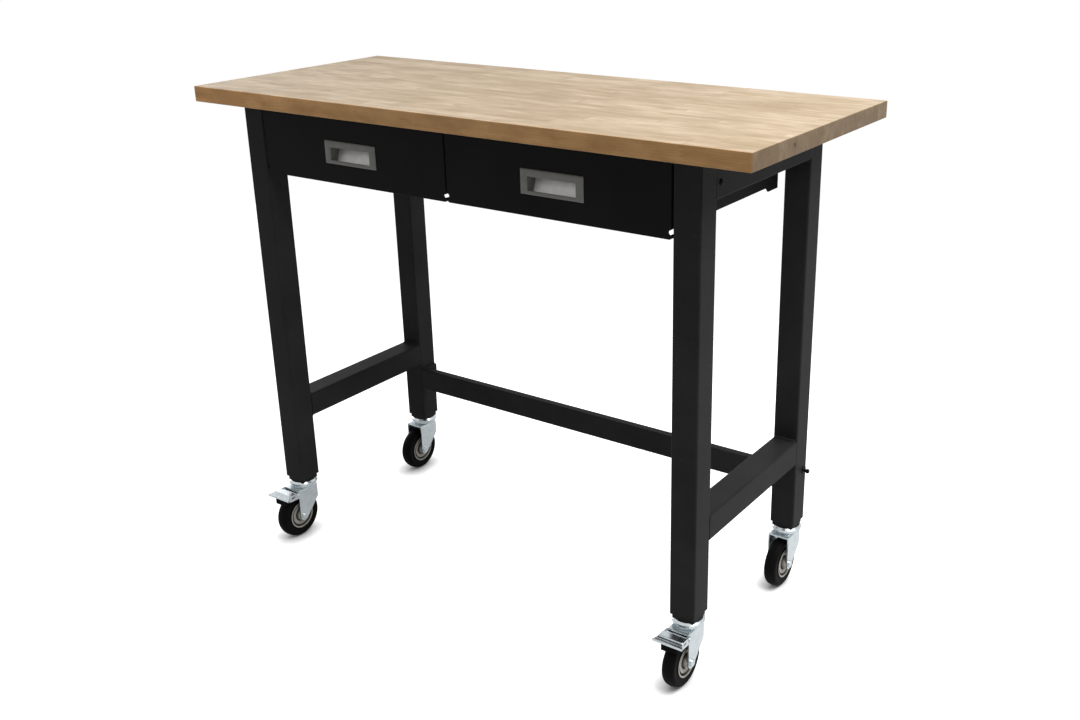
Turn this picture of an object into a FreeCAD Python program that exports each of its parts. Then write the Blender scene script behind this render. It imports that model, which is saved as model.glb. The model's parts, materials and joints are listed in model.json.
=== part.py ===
import FreeCAD, Part
import math
import os

from FreeCAD import Vector

# A wheeled workbench: a solid wood top on a black tube frame, two steel drawers on
# telescopic slides, and four swivel casters, the front pair with foot brakes.
#
# Frame: X to the right of someone who stands at the drawers, Y away from them, Z up.
# The origin is on the floor, in the middle of the whole bench's footprint.
# All sizes are in millimetres.

# ---------------------------------------------------------------- worktop
TOP_LENGTH = 1220.0
TOP_DEPTH = 510.0
TOP_THICK = 30.0
TOP_EDGE_ROUND = 1.5
BENCH_HEIGHT = 970.0

# ---------------------------------------------------------------- tube frame
LEG_TUBE = 50.0
TUBE_WALL = 2.0
TUBE_ROUND = 3.5
LEG_INSET_X = 100.0          # worktop end to the leg's outer face
LEG_INSET_Y = 33.0           # worktop front edge to the front legs
LEG_PITCH_Y = 390.0          # front leg centre to back leg centre
LEG_FOOT_Z = 135.0
APRON_HEIGHT = 70.0
SIDE_RAIL_TOP_Z = 320.0
SIDE_RAIL_HEIGHT = 50.0
REAR_RAIL_TOP_Z = 260.0
REAR_RAIL_HEIGHT = 50.0
REAR_RAIL_THICK = 20.0
REAR_PLATE = 4.0             # end plate that meets the leg
REAR_BOLT_BACK = 12.0        # bolt centre ahead of the leg's back face
REAR_BOLT_DOWN = 16.0        # bolt centre below the rail's top
WELD_LEG = 4.0

# ---------------------------------------------------------------- fasteners
BOLT_R = 3.0
BOLT_NUT_ACROSS = 10.0
BOLT_NUT_THICK = 5.0
BOLT_NECK = 4.0              # plain shank between washer and head
BOLT_HEAD_R = 4.5
BOLT_HEAD = 6.0
WASHER_R = 8.0
WASHER_THICK = 1.6
APRON_SCREW_R = 3.0
APRON_SCREW_HEAD_R = 5.0
APRON_SCREW_HEAD = 3.0
APRON_NUT_ACROSS = 10.0
APRON_NUT_THICK = 5.0
APRON_SCREW_DOWN = 43.0      # below the underside of the worktop
APRON_SCREW_INSET = 36.5     # from the carrier's ends
TOP_SCREW_R = 2.0
TOP_SCREW_HEAD_R = 4.5
TOP_SCREW_HEAD = 2.4
TOP_SCREW_BITE = 18.0        # length inside the wood
TOP_SCREW_INSET = 30.0       # from the carrier's ends
HOLE_CLEARANCE = 0.2         # fastener to its hole, per side

# ---------------------------------------------------------------- slide carriers
CARRIER_SHEET = 2.0
CARRIER_START = 24.0         # from the front face of the legs
CARRIER_LENGTH = 340.0
CARRIER_DROP = 113.0         # web height below the worktop
CARRIER_FLANGE = 20.0
CARRIER_FOOT_DROP = 8.0
CARRIER_FOOT_LENGTH = 37.0
HANGER_FLANGE = 25.0         # each way from the centre line

# ---------------------------------------------------------------- drawers
DRAWER_GAP = 3.0             # around and between the fronts
DRAWER_TOP_GAP = 4.0         # under the worktop
FRONT_HEIGHT = 126.0
FRONT_SHEET = 1.5
FRONT_RETURN = 18.0
FRONT_BEND = 1.4
FRONT_CORNER = 4.0
NOTCH_R = 4.5
NOTCH_UP = 12.0              # notch centre above the front's bottom edge
BOX_SHEET = 1.2
BOX_DEPTH = 358.0
BOX_HEIGHT = 90.0
BOX_FLOOR_UP = 10.0          # above the front's bottom edge
BOX_HEM = 7.0

# ---------------------------------------------------------------- recessed pulls
PULL_WIDTH = 128.0
PULL_HEIGHT = 43.0
PULL_TOP_DOWN = 45.0         # below the front's top edge
PULL_PROUD = 2.4
PULL_CHAMFER = 1.8
RECESS_WIDTH = 98.0
RECESS_HEIGHT = 24.0
RECESS_UP = 7.0              # above the bezel's bottom edge
RECESS_DEEP_TOP = 28.0
RECESS_DEEP_LOW = 15.0
RECESS_SAG = 5.5             # the floor's fall from the bezel to the back
RECESS_HOOK = 5.0            # finger room above, behind the bezel
PULL_WALL = 2.0
PULL_CLEARANCE = 0.5

# ---------------------------------------------------------------- telescopic slides
SLIDE_SPACE = 13.0           # carrier face to drawer side
SLIDE_HEIGHT = 45.0
SLIDE_SHEET = 1.2
SLIDE_LENGTH = 335.0
SLIDE_DOWN = 78.0            # slide centre below the underside of the worktop
SLIDE_RUNNING_GAP = 0.4
SLIDE_ROUND = 2.5
SLIDE_MIDDLE_WEB = 4.0       # carrier face to the middle member's web
SLIDE_CABINET_REACH = 9.6
SLIDE_MIDDLE_REACH = 10.4
SLIDE_DRAWER_REACH = 7.0     # depth of the drawer member, from the drawer side
SLIDE_MIDDLE_SHORT = 12.0

# ---------------------------------------------------------------- leg plugs and casters
PLUG_COLLAR = 44.0
PLUG_COLLAR_HEIGHT = 9.0
PLUG_INSIDE = 38.0
PLUG_CLEARANCE = 0.2
STEM_R = 6.0
STEM_INSIDE = 40.0
RUNNING_CLEARANCE = 0.05     # pin to bore, per side
CUP_R = 29.5
CUP_HEIGHT = 7.5
CUP_SHEET = 2.4
RACE_R = 27.0
RACE_HEIGHT = 6.0
RACE_WALL = 2.0
RACE_GAP = 0.3
BALL_RING_R = 24.0
BALL_RING_WIDTH = 5.0
KINGPIN_HEAD_R = 10.0
KINGPIN_HEAD = 4.0
WHEEL_R = 50.0
TYRE_WIDTH = 25.0
TYRE_CROWN = 6.5
TYRE_SEAT_R = 30.0
TRAIL = 25.0                 # swivel axis to axle
FORK_WIDTH = 44.0
FORK_SHEET = 2.5
FORK_TOP = 3.0
FORK_TIP_R = 10.5
FORK_BACK = 17.0             # behind the swivel axis
FORK_HIP_Z = 81.0            # where the sides start to narrow
FORK_BEND = 2.6              # outer radius of the fold from crown to side
AXLE_R = 4.0
AXLE_HEAD_R = 7.0
AXLE_HEAD = 3.5
HUB_BOSS_R = 12.0
HUB_SIDE_GAP = 0.6
HUB_WEB = 13.0
HUB_RIM_R = 26.8
HUB_PROUD = 0.6
HUB_RING_IN_R = 14.5
HUB_RING_OUT_R = 23.0
HUB_RING = 22.0

# ---------------------------------------------------------------- foot brakes
BRAKE_PIN_R = 2.5
BRAKE_PIN_AHEAD = 36.5       # ahead of the swivel axis
BRAKE_PIN_DOWN = 5.2         # below the fork's top plate
BRAKE_PIN_HEAD_R = 4.5
BRAKE_PIN_HEAD = 1.6
BRAKE_ARM_GAP = 0.4
BRAKE_ARM = 2.0
PEDAL_TIP = 74.5             # ahead of the swivel axis
PEDAL_REAR = 46.0
PEDAL_FOLD = 60.0            # where the flat tread starts to slope down
PEDAL_WIDTH = 49.0
PEDAL_TIP_WIDTH = 60.0
PEDAL_SHEET = 2.5
PEDAL_TOP_UP = 8.0           # tread plate's top above the brake pin
PEDAL_LIP_R = 2.6
PEDAL_LIP_DOWN = 5.4         # lip's middle below the tread plate's top
PEDAL_RIBS = (               # ahead of the swivel axis, down, radius, length
    (61.5, 0.2, 1.7, 46.0),
    (66.8, 2.7, 1.2, 50.0),
)
SHOE_WIDTH = 32.0
SHOE_HEIGHT = 24.0
SHOE_BACK = 1.0              # ahead of the tread plate's rear edge
SHOE_FRONT = 7.5             # behind the pedal's tip
SHOE_GAP = 6.3               # to the tyre, with the pedal up
BRAKE_EYE_R = 6.5
BRAKE_ARM_DROP = 6.0         # lower edge of the arm below the pin
BRAKE_SLOT = ((56.5, 0.8), (49.5, 2.2), 1.5)    # two ends ahead and above the pin, radius
BRAKE_EAR = 7.5              # nose of the fork's ear ahead of the pin
BRAKE_EAR_ROOT = 8.0         # root of the ear below the pin

# ---------------------------------------------------------------- derived places
WHEEL_AHEAD = max(0.0, WHEEL_R + TRAIL - LEG_INSET_Y - LEG_TUBE / 2)
TOP_FRONT_Y = -(TOP_DEPTH - WHEEL_AHEAD) / 2
TOP_Z = (BENCH_HEIGHT - TOP_THICK, BENCH_HEIGHT)
UNDERSIDE_Z = TOP_Z[0]

LEG_X = (TOP_LENGTH / 2 - LEG_INSET_X - LEG_TUBE, TOP_LENGTH / 2 - LEG_INSET_X)
LEG_CENTRE_X = sum(LEG_X) / 2
FRONT_LEG_Y = (TOP_FRONT_Y + LEG_INSET_Y, TOP_FRONT_Y + LEG_INSET_Y + LEG_TUBE)
BACK_LEG_Y = (FRONT_LEG_Y[0] + LEG_PITCH_Y, FRONT_LEG_Y[1] + LEG_PITCH_Y)
LEG_Y = {"front": FRONT_LEG_Y, "back": BACK_LEG_Y}
RAIL_Y = (FRONT_LEG_Y[1], BACK_LEG_Y[0])
REAR_RAIL_Z = (REAR_RAIL_TOP_Z - REAR_RAIL_HEIGHT, REAR_RAIL_TOP_Z)
REAR_BOLT_Y = BACK_LEG_Y[1] - REAR_BOLT_BACK
REAR_BOLT_Z = REAR_RAIL_TOP_Z - REAR_BOLT_DOWN

CARRIER_FACE_X = LEG_X[0] - CARRIER_SHEET
HANGER_FACE_X = CARRIER_SHEET / 2
CARRIER_Y = (FRONT_LEG_Y[0] + CARRIER_START, FRONT_LEG_Y[0] + CARRIER_START + CARRIER_LENGTH)
CARRIER_Z = (UNDERSIDE_Z - CARRIER_DROP, UNDERSIDE_Z)
APRON_SCREW_Y = (CARRIER_Y[0] + APRON_SCREW_INSET, CARRIER_Y[1] - APRON_SCREW_INSET)
APRON_SCREW_Z = UNDERSIDE_Z - APRON_SCREW_DOWN
TOP_SCREW_Y = (CARRIER_Y[0] + TOP_SCREW_INSET, sum(CARRIER_Y) / 2, CARRIER_Y[1] - TOP_SCREW_INSET)
TOP_SCREW_X = ((HANGER_FACE_X + HANGER_FLANGE) / 2, LEG_X[0] - (CARRIER_FLANGE + CARRIER_SHEET) / 2)

FRONT_X = (DRAWER_GAP / 2, LEG_X[0] - DRAWER_GAP)
FRONT_Y = (FRONT_LEG_Y[0], FRONT_LEG_Y[0] + FRONT_RETURN)
FRONT_Z = (UNDERSIDE_Z - DRAWER_TOP_GAP - FRONT_HEIGHT, UNDERSIDE_Z - DRAWER_TOP_GAP)
BOX_X = (HANGER_FACE_X + SLIDE_SPACE, CARRIER_FACE_X - SLIDE_SPACE)
BOX_Y = (FRONT_Y[0] + FRONT_SHEET, FRONT_Y[0] + FRONT_SHEET + BOX_DEPTH)
BOX_Z = (FRONT_Z[0] + BOX_FLOOR_UP, FRONT_Z[0] + BOX_FLOOR_UP + BOX_HEIGHT)
PULL_X = sum(FRONT_X) / 2
PULL_Z = (FRONT_Z[1] - PULL_TOP_DOWN - PULL_HEIGHT, FRONT_Z[1] - PULL_TOP_DOWN)
RECESS_Z = (PULL_Z[0] + RECESS_UP, PULL_Z[0] + RECESS_UP + RECESS_HEIGHT)
SLIDE_Y = (sum(CARRIER_Y) / 2 - SLIDE_LENGTH / 2, sum(CARRIER_Y) / 2 + SLIDE_LENGTH / 2)
SLIDE_Z = UNDERSIDE_Z - SLIDE_DOWN

PLUG_Z = LEG_FOOT_Z - PLUG_COLLAR_HEIGHT
CUP_Z = (PLUG_Z - CUP_HEIGHT, PLUG_Z)
RACE_Z = (CUP_Z[0] - RACE_GAP - RACE_HEIGHT, CUP_Z[0] - RACE_GAP)
FORK_TOP_Z = (RACE_Z[0] - FORK_TOP, RACE_Z[0])
FORK_FRONT_Y = -(TRAIL + FORK_TIP_R)
FORK_INSIDE = FORK_WIDTH / 2 - FORK_SHEET
BRAKE_PIN_Y = -BRAKE_PIN_AHEAD
BRAKE_PIN_Z = FORK_TOP_Z[0] - BRAKE_PIN_DOWN

AXES = {"x": Vector(1, 0, 0), "y": Vector(0, 1, 0), "z": Vector(0, 0, 1)}


# ---------------------------------------------------------------- helpers
def block(x, y, z):
    """Box between the two limits given on each axis."""
    corner = Vector(x[0], y[0], z[0])
    return Part.makeBox(x[1] - x[0], y[1] - y[0], z[1] - z[0], corner)


def edges_along(shape, axis):
    """Straight edges of the shape that run along one axis."""
    found = []
    for edge in shape.Edges:
        if isinstance(edge.Curve, Part.Line) and abs(edge.Curve.Direction.dot(AXES[axis])) > 0.999:
            found.append(edge)
    return found


def rounded_block(x, y, z, axis, radius):
    """Box whose four edges along one axis are rounded."""
    solid = block(x, y, z)
    return solid.makeFillet(radius, edges_along(solid, axis))


def square_tube(x, y, z, axis):
    """Length of rectangular tube with rounded corners, open at both ends."""
    outer = rounded_block(x, y, z, axis, TUBE_ROUND)
    limits = {"x": x, "y": y, "z": z}
    for name in limits:
        if name != axis:
            low, high = limits[name]
            limits[name] = (low + TUBE_WALL, high - TUBE_WALL)
    inner = rounded_block(limits["x"], limits["y"], limits["z"], axis, TUBE_ROUND - TUBE_WALL)
    return outer.cut(inner)


def rod(axis, radius, start, end, a, b):
    """Cylinder along an axis from start to end. a and b place its centre on the other
    two axes, in the order x, y, z."""
    bases = {"x": Vector(start, a, b), "y": Vector(a, start, b), "z": Vector(a, b, start)}
    return Part.makeCylinder(radius, end - start, bases[axis], AXES[axis])


def profile_yz(points, x):
    """Closed outline in Y and Z, drawn out between two X limits."""
    corners = [Vector(x[0], y, z) for y, z in points]
    wire = Part.makePolygon(corners + corners[:1])
    return Part.Face(wire).extrude(Vector(x[1] - x[0], 0, 0))


def profile_xy(points, z):
    """Closed outline in X and Y, drawn out between two Z limits."""
    corners = [Vector(x, y, z[0]) for x, y in points]
    wire = Part.makePolygon(corners + corners[:1])
    return Part.Face(wire).extrude(Vector(0, 0, z[1] - z[0]))


def turned(points, axis):
    """Solid of revolution: points are (distance from the axis, place along it)."""
    across = Vector(0, 1, 0) if axis == "x" else Vector(1, 0, 0)
    corners = [across * radius + AXES[axis] * place for radius, place in points]
    wire = Part.makePolygon(corners + corners[:1])
    return Part.Face(wire).revolve(Vector(0, 0, 0), AXES[axis], 360)


def hexagon_x(across, start, end, y, z):
    """Hexagonal prism along X, for nuts."""
    radius = across / math.sqrt(3)
    points = []
    for step in range(6):
        angle = math.radians(60 * step)
        points.append((y + radius * math.cos(angle), z + radius * math.sin(angle)))
    return profile_yz(points, (start, end))


def mirrored(shape):
    """The same piece on the other side of the bench's centre plane."""
    return shape.mirror(Vector(0, 0, 0), AXES["x"])


def save(name, *solids):
    """Write one named piece, or one group of identical pieces."""
    shape = solids[0] if len(solids) == 1 else Part.makeCompound(list(solids))
    shape.exportStep("parts/" + name + ".step")


def save_pair(name, shape):
    """Write the right hand piece and its mirror image on the left."""
    save(name + "_right", shape)
    save(name + "_left", mirrored(shape))


# ---------------------------------------------------------------- worktop
def worktop_screw_places():
    """Centres of the screws that hold the carriers and the hanger to the worktop."""
    return [(side * x, y) for side in (-1, 1) for x in TOP_SCREW_X for y in TOP_SCREW_Y]


def worktop():
    """Solid wood slab with eased edges and blind pilot holes underneath."""
    slab = block((-TOP_LENGTH / 2, TOP_LENGTH / 2), (TOP_FRONT_Y, TOP_FRONT_Y + TOP_DEPTH), TOP_Z)
    slab = slab.makeFillet(TOP_EDGE_ROUND, slab.Edges)
    bottom = UNDERSIDE_Z + TOP_SCREW_BITE + HOLE_CLEARANCE
    for x, y in worktop_screw_places():
        slab = slab.cut(rod("z", TOP_SCREW_R + HOLE_CLEARANCE, UNDERSIDE_Z - 1, bottom, x, y))
    return slab


def worktop_screws():
    """Pan head wood screws, driven up through the flanges."""
    under = UNDERSIDE_Z - CARRIER_SHEET
    screws = []
    for x, y in worktop_screw_places():
        head = rod("z", TOP_SCREW_HEAD_R, under - TOP_SCREW_HEAD, under, x, y)
        head = head.makeFillet(TOP_SCREW_HEAD / 2, [head.Edges[2]])
        shank = rod("z", TOP_SCREW_R, under, UNDERSIDE_Z + TOP_SCREW_BITE, x, y)
        screws.append(head.fuse(shank).removeSplitter())
    return screws


# ---------------------------------------------------------------- frame
def leg(row):
    """Right hand leg of the front or the back row."""
    y = LEG_Y[row]
    tube = square_tube(LEG_X, y, (LEG_FOOT_Z, UNDERSIDE_Z), "z")
    if row == "back":
        hole = rod("x", BOLT_R + HOLE_CLEARANCE, LEG_X[0] - 1, LEG_X[1] + 1, REAR_BOLT_Y, REAR_BOLT_Z)
        tube = tube.cut(hole)
    return tube


def flush_welds(z):
    """Welds ground flush in the grooves beside the legs' rounded corners, on the outer face."""
    x = (LEG_X[1] - TUBE_ROUND, LEG_X[1])
    welds = []
    for wall, outward in ((RAIL_Y[0], -TUBE_ROUND), (RAIL_Y[1], TUBE_ROUND)):
        y = sorted((wall, wall + outward))
        corner = rod("z", TUBE_ROUND, z[0], z[1], x[0], wall + outward)
        welds.append(block(x, y, (z[0] + TUBE_ROUND, z[1])).cut(corner))
    return welds


def side_rail(z, weld_sides):
    """Tube welded between a front and a back leg, with its weld fillets."""
    rail = square_tube(LEG_X, RAIL_Y, z, "y")
    bead_x = (LEG_X[0] + TUBE_ROUND, LEG_X[1] - TUBE_ROUND)
    for level, away in weld_sides:
        for wall, inward in ((RAIL_Y[0], 1), (RAIL_Y[1], -1)):
            bead = [(wall, level), (wall + inward * WELD_LEG, level), (wall, level + away * WELD_LEG)]
            rail = rail.fuse(profile_yz(bead, bead_x))
    return rail.removeSplitter()


def apron():
    """Upper side rail under the end of the worktop, drilled for the carrier's screws."""
    low = UNDERSIDE_Z - APRON_HEIGHT
    rail = side_rail((low, UNDERSIDE_Z), [(low, -1)])
    for weld in flush_welds((low, UNDERSIDE_Z)):
        rail = rail.fuse(weld)
    rail = rail.removeSplitter()
    for y in APRON_SCREW_Y:
        radius = APRON_SCREW_R + HOLE_CLEARANCE
        rail = rail.cut(rod("x", radius, LEG_X[0] - 1, LEG_X[1] + 1, y, APRON_SCREW_Z))
    return rail


def side_stretcher():
    """Lower side rail."""
    low = SIDE_RAIL_TOP_Z - SIDE_RAIL_HEIGHT
    return side_rail((low, SIDE_RAIL_TOP_Z), [(low, -1), (SIDE_RAIL_TOP_Z, 1)])


def rear_stretcher():
    """Flat tube between the back legs, with an end plate that bolts to each leg."""
    plate_x = LEG_X[0] - REAR_PLATE
    tube_y = (BACK_LEG_Y[0], BACK_LEG_Y[0] + REAR_RAIL_THICK)
    rail = square_tube((-plate_x, plate_x), tube_y, REAR_RAIL_Z, "x")
    for side in (-1, 1):
        x = sorted((side * plate_x, side * LEG_X[0]))
        plate = rounded_block(x, BACK_LEG_Y, REAR_RAIL_Z, "x", TUBE_ROUND)
        hole = rod("x", BOLT_R + HOLE_CLEARANCE, x[0] - 1, x[1] + 1, REAR_BOLT_Y, REAR_BOLT_Z)
        rail = rail.fuse(plate.cut(hole))
    return rail.removeSplitter()


def stretcher_bolt():
    """Round head bolt through the back leg and the end plate: washer outside, nut inside."""
    inside = LEG_X[0] - REAR_PLATE
    neck_x = LEG_X[1] + WASHER_THICK
    head_x = neck_x + BOLT_NECK
    place = (REAR_BOLT_Y, REAR_BOLT_Z)
    head = rod("x", BOLT_HEAD_R, head_x, head_x + BOLT_HEAD, *place)
    rims = [edge for edge in head.Edges if edge.Length > 5 * BOLT_HEAD_R]
    bolt = head.makeFillet(BOLT_HEAD_R / 3, rims)
    bolt = bolt.fuse(rod("x", BOLT_R, inside - BOLT_NUT_THICK, head_x, *place))
    bolt = bolt.fuse(rod("x", WASHER_R, LEG_X[1], neck_x, *place))
    bolt = bolt.fuse(hexagon_x(BOLT_NUT_ACROSS, inside - BOLT_NUT_THICK, inside, *place))
    return bolt.removeSplitter()


# ---------------------------------------------------------------- slide carriers
def carrier():
    """Folded plate inside the right hand end frame: web, top flange and a rear foot."""
    foot_z = CARRIER_Z[0] - CARRIER_FOOT_DROP
    foot_y = CARRIER_Y[1] - CARRIER_FOOT_LENGTH
    web = profile_yz([
        (CARRIER_Y[0], CARRIER_Z[0]),
        (foot_y - CARRIER_FOOT_DROP, CARRIER_Z[0]),
        (foot_y, foot_z),
        (CARRIER_Y[1], foot_z),
        (CARRIER_Y[1], CARRIER_Z[1]),
        (CARRIER_Y[0], CARRIER_Z[1]),
    ], (CARRIER_FACE_X, LEG_X[0]))
    flange_z = (UNDERSIDE_Z - CARRIER_SHEET, UNDERSIDE_Z)
    plate = web.fuse(block((LEG_X[0] - CARRIER_FLANGE, LEG_X[0]), CARRIER_Y, flange_z))
    for y in APRON_SCREW_Y:
        radius = APRON_SCREW_R + HOLE_CLEARANCE
        plate = plate.cut(rod("x", radius, CARRIER_FACE_X - 1, LEG_X[0] + 1, y, APRON_SCREW_Z))
    return drilled_for_top(plate).removeSplitter()


def hanger():
    """T shaped plate under the middle of the worktop that carries both inner slides."""
    web = block((-HANGER_FACE_X, HANGER_FACE_X), CARRIER_Y, CARRIER_Z)
    flange_z = (UNDERSIDE_Z - CARRIER_SHEET, UNDERSIDE_Z)
    plate = web.fuse(block((-HANGER_FLANGE, HANGER_FLANGE), CARRIER_Y, flange_z))
    return drilled_for_top(plate).removeSplitter()


def drilled_for_top(plate):
    """Clearance holes for the worktop screws."""
    for x, y in worktop_screw_places():
        radius = TOP_SCREW_R + HOLE_CLEARANCE
        plate = plate.cut(rod("z", radius, UNDERSIDE_Z - CARRIER_SHEET - 1, UNDERSIDE_Z + 1, x, y))
    return plate


def apron_screw(y):
    """Button head screw through the apron and the carrier, with its nut inside."""
    nut_x = CARRIER_FACE_X - APRON_NUT_THICK
    head = rod("x", APRON_SCREW_HEAD_R, LEG_X[1], LEG_X[1] + APRON_SCREW_HEAD, y, APRON_SCREW_Z)
    rim = [edge for edge in head.Edges if edge.BoundBox.XMin > LEG_X[1] + APRON_SCREW_HEAD / 2]
    head = head.makeFillet(APRON_SCREW_HEAD * 0.8, rim)
    screw = head.fuse(rod("x", APRON_SCREW_R, nut_x, LEG_X[1], y, APRON_SCREW_Z))
    screw = screw.fuse(hexagon_x(APRON_NUT_ACROSS, nut_x, CARRIER_FACE_X, y, APRON_SCREW_Z))
    return screw.removeSplitter()


# ---------------------------------------------------------------- drawers, right hand
def drawer_front():
    """Folded sheet pan: face, four returns, corner relief notches and the pull's cut-out."""
    pan = block(FRONT_X, FRONT_Y, FRONT_Z)
    low_corners = [edge for edge in edges_along(pan, "y") if edge.BoundBox.ZMax < sum(FRONT_Z) / 2]
    pan = pan.makeFillet(FRONT_CORNER, low_corners)
    bends = [edge for edge in pan.Edges if edge.BoundBox.YMax < FRONT_Y[0] + FRONT_SHEET / 2]
    pan = pan.makeFillet(FRONT_BEND, bends)
    inside_x = (FRONT_X[0] + FRONT_SHEET, FRONT_X[1] - FRONT_SHEET)
    inside_z = (FRONT_Z[0] + FRONT_SHEET, FRONT_Z[1] - FRONT_SHEET)
    hollow = block(inside_x, (FRONT_Y[0] + FRONT_SHEET, FRONT_Y[1] + 1), inside_z)
    low_corners = [edge for edge in edges_along(hollow, "y") if edge.BoundBox.ZMax < sum(FRONT_Z) / 2]
    pan = pan.cut(hollow.makeFillet(FRONT_CORNER - FRONT_SHEET, low_corners))
    for x in FRONT_X:
        pan = pan.cut(rod("y", NOTCH_R, FRONT_Y[0] - 1, FRONT_Y[1] + 1, x, FRONT_Z[0] + NOTCH_UP))
    return pan.cut(pull_cut_out((FRONT_Y[0] - 1, FRONT_Y[0] + FRONT_SHEET + 1)))


def drawer_box():
    """Open tray with hemmed top edges and a cut-out for the pull's cup."""
    tray = rounded_block(BOX_X, BOX_Y, BOX_Z, "z", BOX_SHEET)
    inner_x = (BOX_X[0] + BOX_SHEET, BOX_X[1] - BOX_SHEET)
    inner_y = (BOX_Y[0] + BOX_SHEET, BOX_Y[1] - BOX_SHEET)
    below_hem = BOX_Z[1] - BOX_SHEET
    tray = tray.cut(block(inner_x, inner_y, (BOX_Z[0] + BOX_SHEET, below_hem)))
    mouth_x = (BOX_X[0] + BOX_HEM, BOX_X[1] - BOX_HEM)
    mouth_y = (BOX_Y[0] + BOX_SHEET, BOX_Y[1] - BOX_HEM)
    tray = tray.cut(block(mouth_x, mouth_y, (below_hem - 1, BOX_Z[1] + 1)))
    return tray.cut(pull_cut_out((BOX_Y[0] - 1, BOX_Y[0] + BOX_SHEET + 1)))


def pull_cut_out(y):
    """Block that clears the pull's cup between two Y limits."""
    reach = RECESS_WIDTH / 2 + PULL_WALL + PULL_CLEARANCE
    low = (PULL_Z[0] + RECESS_Z[0] - PULL_WALL) / 2
    high = RECESS_Z[1] + RECESS_HOOK + PULL_WALL + PULL_CLEARANCE
    return block((PULL_X - reach, PULL_X + reach), y, (low, high))


def pull():
    """Moulded recessed pull: chamfered bezel, and a cup with a falling floor and a sloping back."""
    face = FRONT_Y[0] - PULL_PROUD
    bezel_x = (PULL_X - PULL_WIDTH / 2, PULL_X + PULL_WIDTH / 2)
    bezel = block(bezel_x, (face, FRONT_Y[0]), PULL_Z)
    rim = [edge for edge in bezel.Edges if edge.BoundBox.YMax < face + PULL_PROUD / 2]
    bezel = bezel.makeChamfer(PULL_CHAMFER, rim)
    low, high = RECESS_Z
    top = high + RECESS_HOOK
    cup = profile_yz([
        (FRONT_Y[0], low - PULL_WALL),
        (face + RECESS_DEEP_LOW + PULL_WALL, low - RECESS_SAG - PULL_WALL),
        (face + RECESS_DEEP_TOP + PULL_WALL, top + PULL_WALL),
        (FRONT_Y[0], top + PULL_WALL),
    ], (PULL_X - RECESS_WIDTH / 2 - PULL_WALL, PULL_X + RECESS_WIDTH / 2 + PULL_WALL))
    hollow = profile_yz([
        (face - 1, low),
        (FRONT_Y[0], low),
        (face + RECESS_DEEP_LOW, low - RECESS_SAG),
        (face + RECESS_DEEP_TOP, top),
        (FRONT_Y[0] + PULL_WALL, top),
        (FRONT_Y[0] + PULL_WALL, high),
        (face - 1, high),
    ], (PULL_X - RECESS_WIDTH / 2, PULL_X + RECESS_WIDTH / 2))
    return bezel.fuse(cup).removeSplitter().cut(hollow)


# ---------------------------------------------------------------- telescopic slides
def channel(face, side, web, reach, half_height, y):
    """C section along Y. face is the carrier's face, side points to the drawer, and web
    and reach are distances from the face to the back of the web and the flange tips."""
    toward = 1 if reach > web else -1
    outer_x = sorted((face + side * web, face + side * reach))
    inner_x = sorted((face + side * (web + toward * SLIDE_SHEET), face + side * (reach + toward)))
    solid = block(outer_x, y, (SLIDE_Z - half_height, SLIDE_Z + half_height))
    back = face + side * web
    bends = [edge for edge in edges_along(solid, "y") if abs(edge.BoundBox.XMax - back) < 0.01]
    solid = solid.makeFillet(SLIDE_ROUND, bends)
    inner_half = half_height - SLIDE_SHEET
    hollow = block(inner_x, (y[0] - 1, y[1] + 1), (SLIDE_Z - inner_half, SLIDE_Z + inner_half))
    back = face + side * (web + toward * SLIDE_SHEET)
    bends = [edge for edge in edges_along(hollow, "y") if abs(edge.BoundBox.XMax - back) < 0.01]
    return solid.cut(hollow.makeFillet(SLIDE_ROUND - SLIDE_SHEET, bends))


def slide_members(face, side):
    """The three nested members of one telescopic slide, closed."""
    half = SLIDE_HEIGHT / 2
    step = SLIDE_SHEET + SLIDE_RUNNING_GAP
    middle_y = (SLIDE_Y[0], SLIDE_Y[1] - SLIDE_MIDDLE_SHORT)
    drawer_tips = SLIDE_SPACE - SLIDE_DRAWER_REACH
    return {
        "cabinet": channel(face, side, 0.0, SLIDE_CABINET_REACH, half, SLIDE_Y),
        "middle": channel(face, side, SLIDE_MIDDLE_WEB, SLIDE_MIDDLE_REACH, half - step, middle_y),
        "drawer": channel(face, side, SLIDE_SPACE, drawer_tips, half - 2 * step, SLIDE_Y),
    }


# ---------------------------------------------------------------- casters, swivel axis at x = y = 0
def leg_plug():
    """Plastic plug in the leg's end: a square collar below, a body inside, a bore."""
    half = PLUG_COLLAR / 2
    inside = LEG_TUBE / 2 - TUBE_WALL - PLUG_CLEARANCE
    collar = rounded_block((-half, half), (-half, half), (PLUG_Z, LEG_FOOT_Z), "z", TUBE_ROUND)
    top = LEG_FOOT_Z + PLUG_INSIDE
    body = rounded_block((-inside, inside), (-inside, inside), (LEG_FOOT_Z, top), "z", TUBE_WALL)
    bore = rod("z", STEM_R + RUNNING_CLEARANCE, PLUG_Z - 1, top + 1, 0, 0)
    return collar.fuse(body).cut(bore).removeSplitter()


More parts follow.
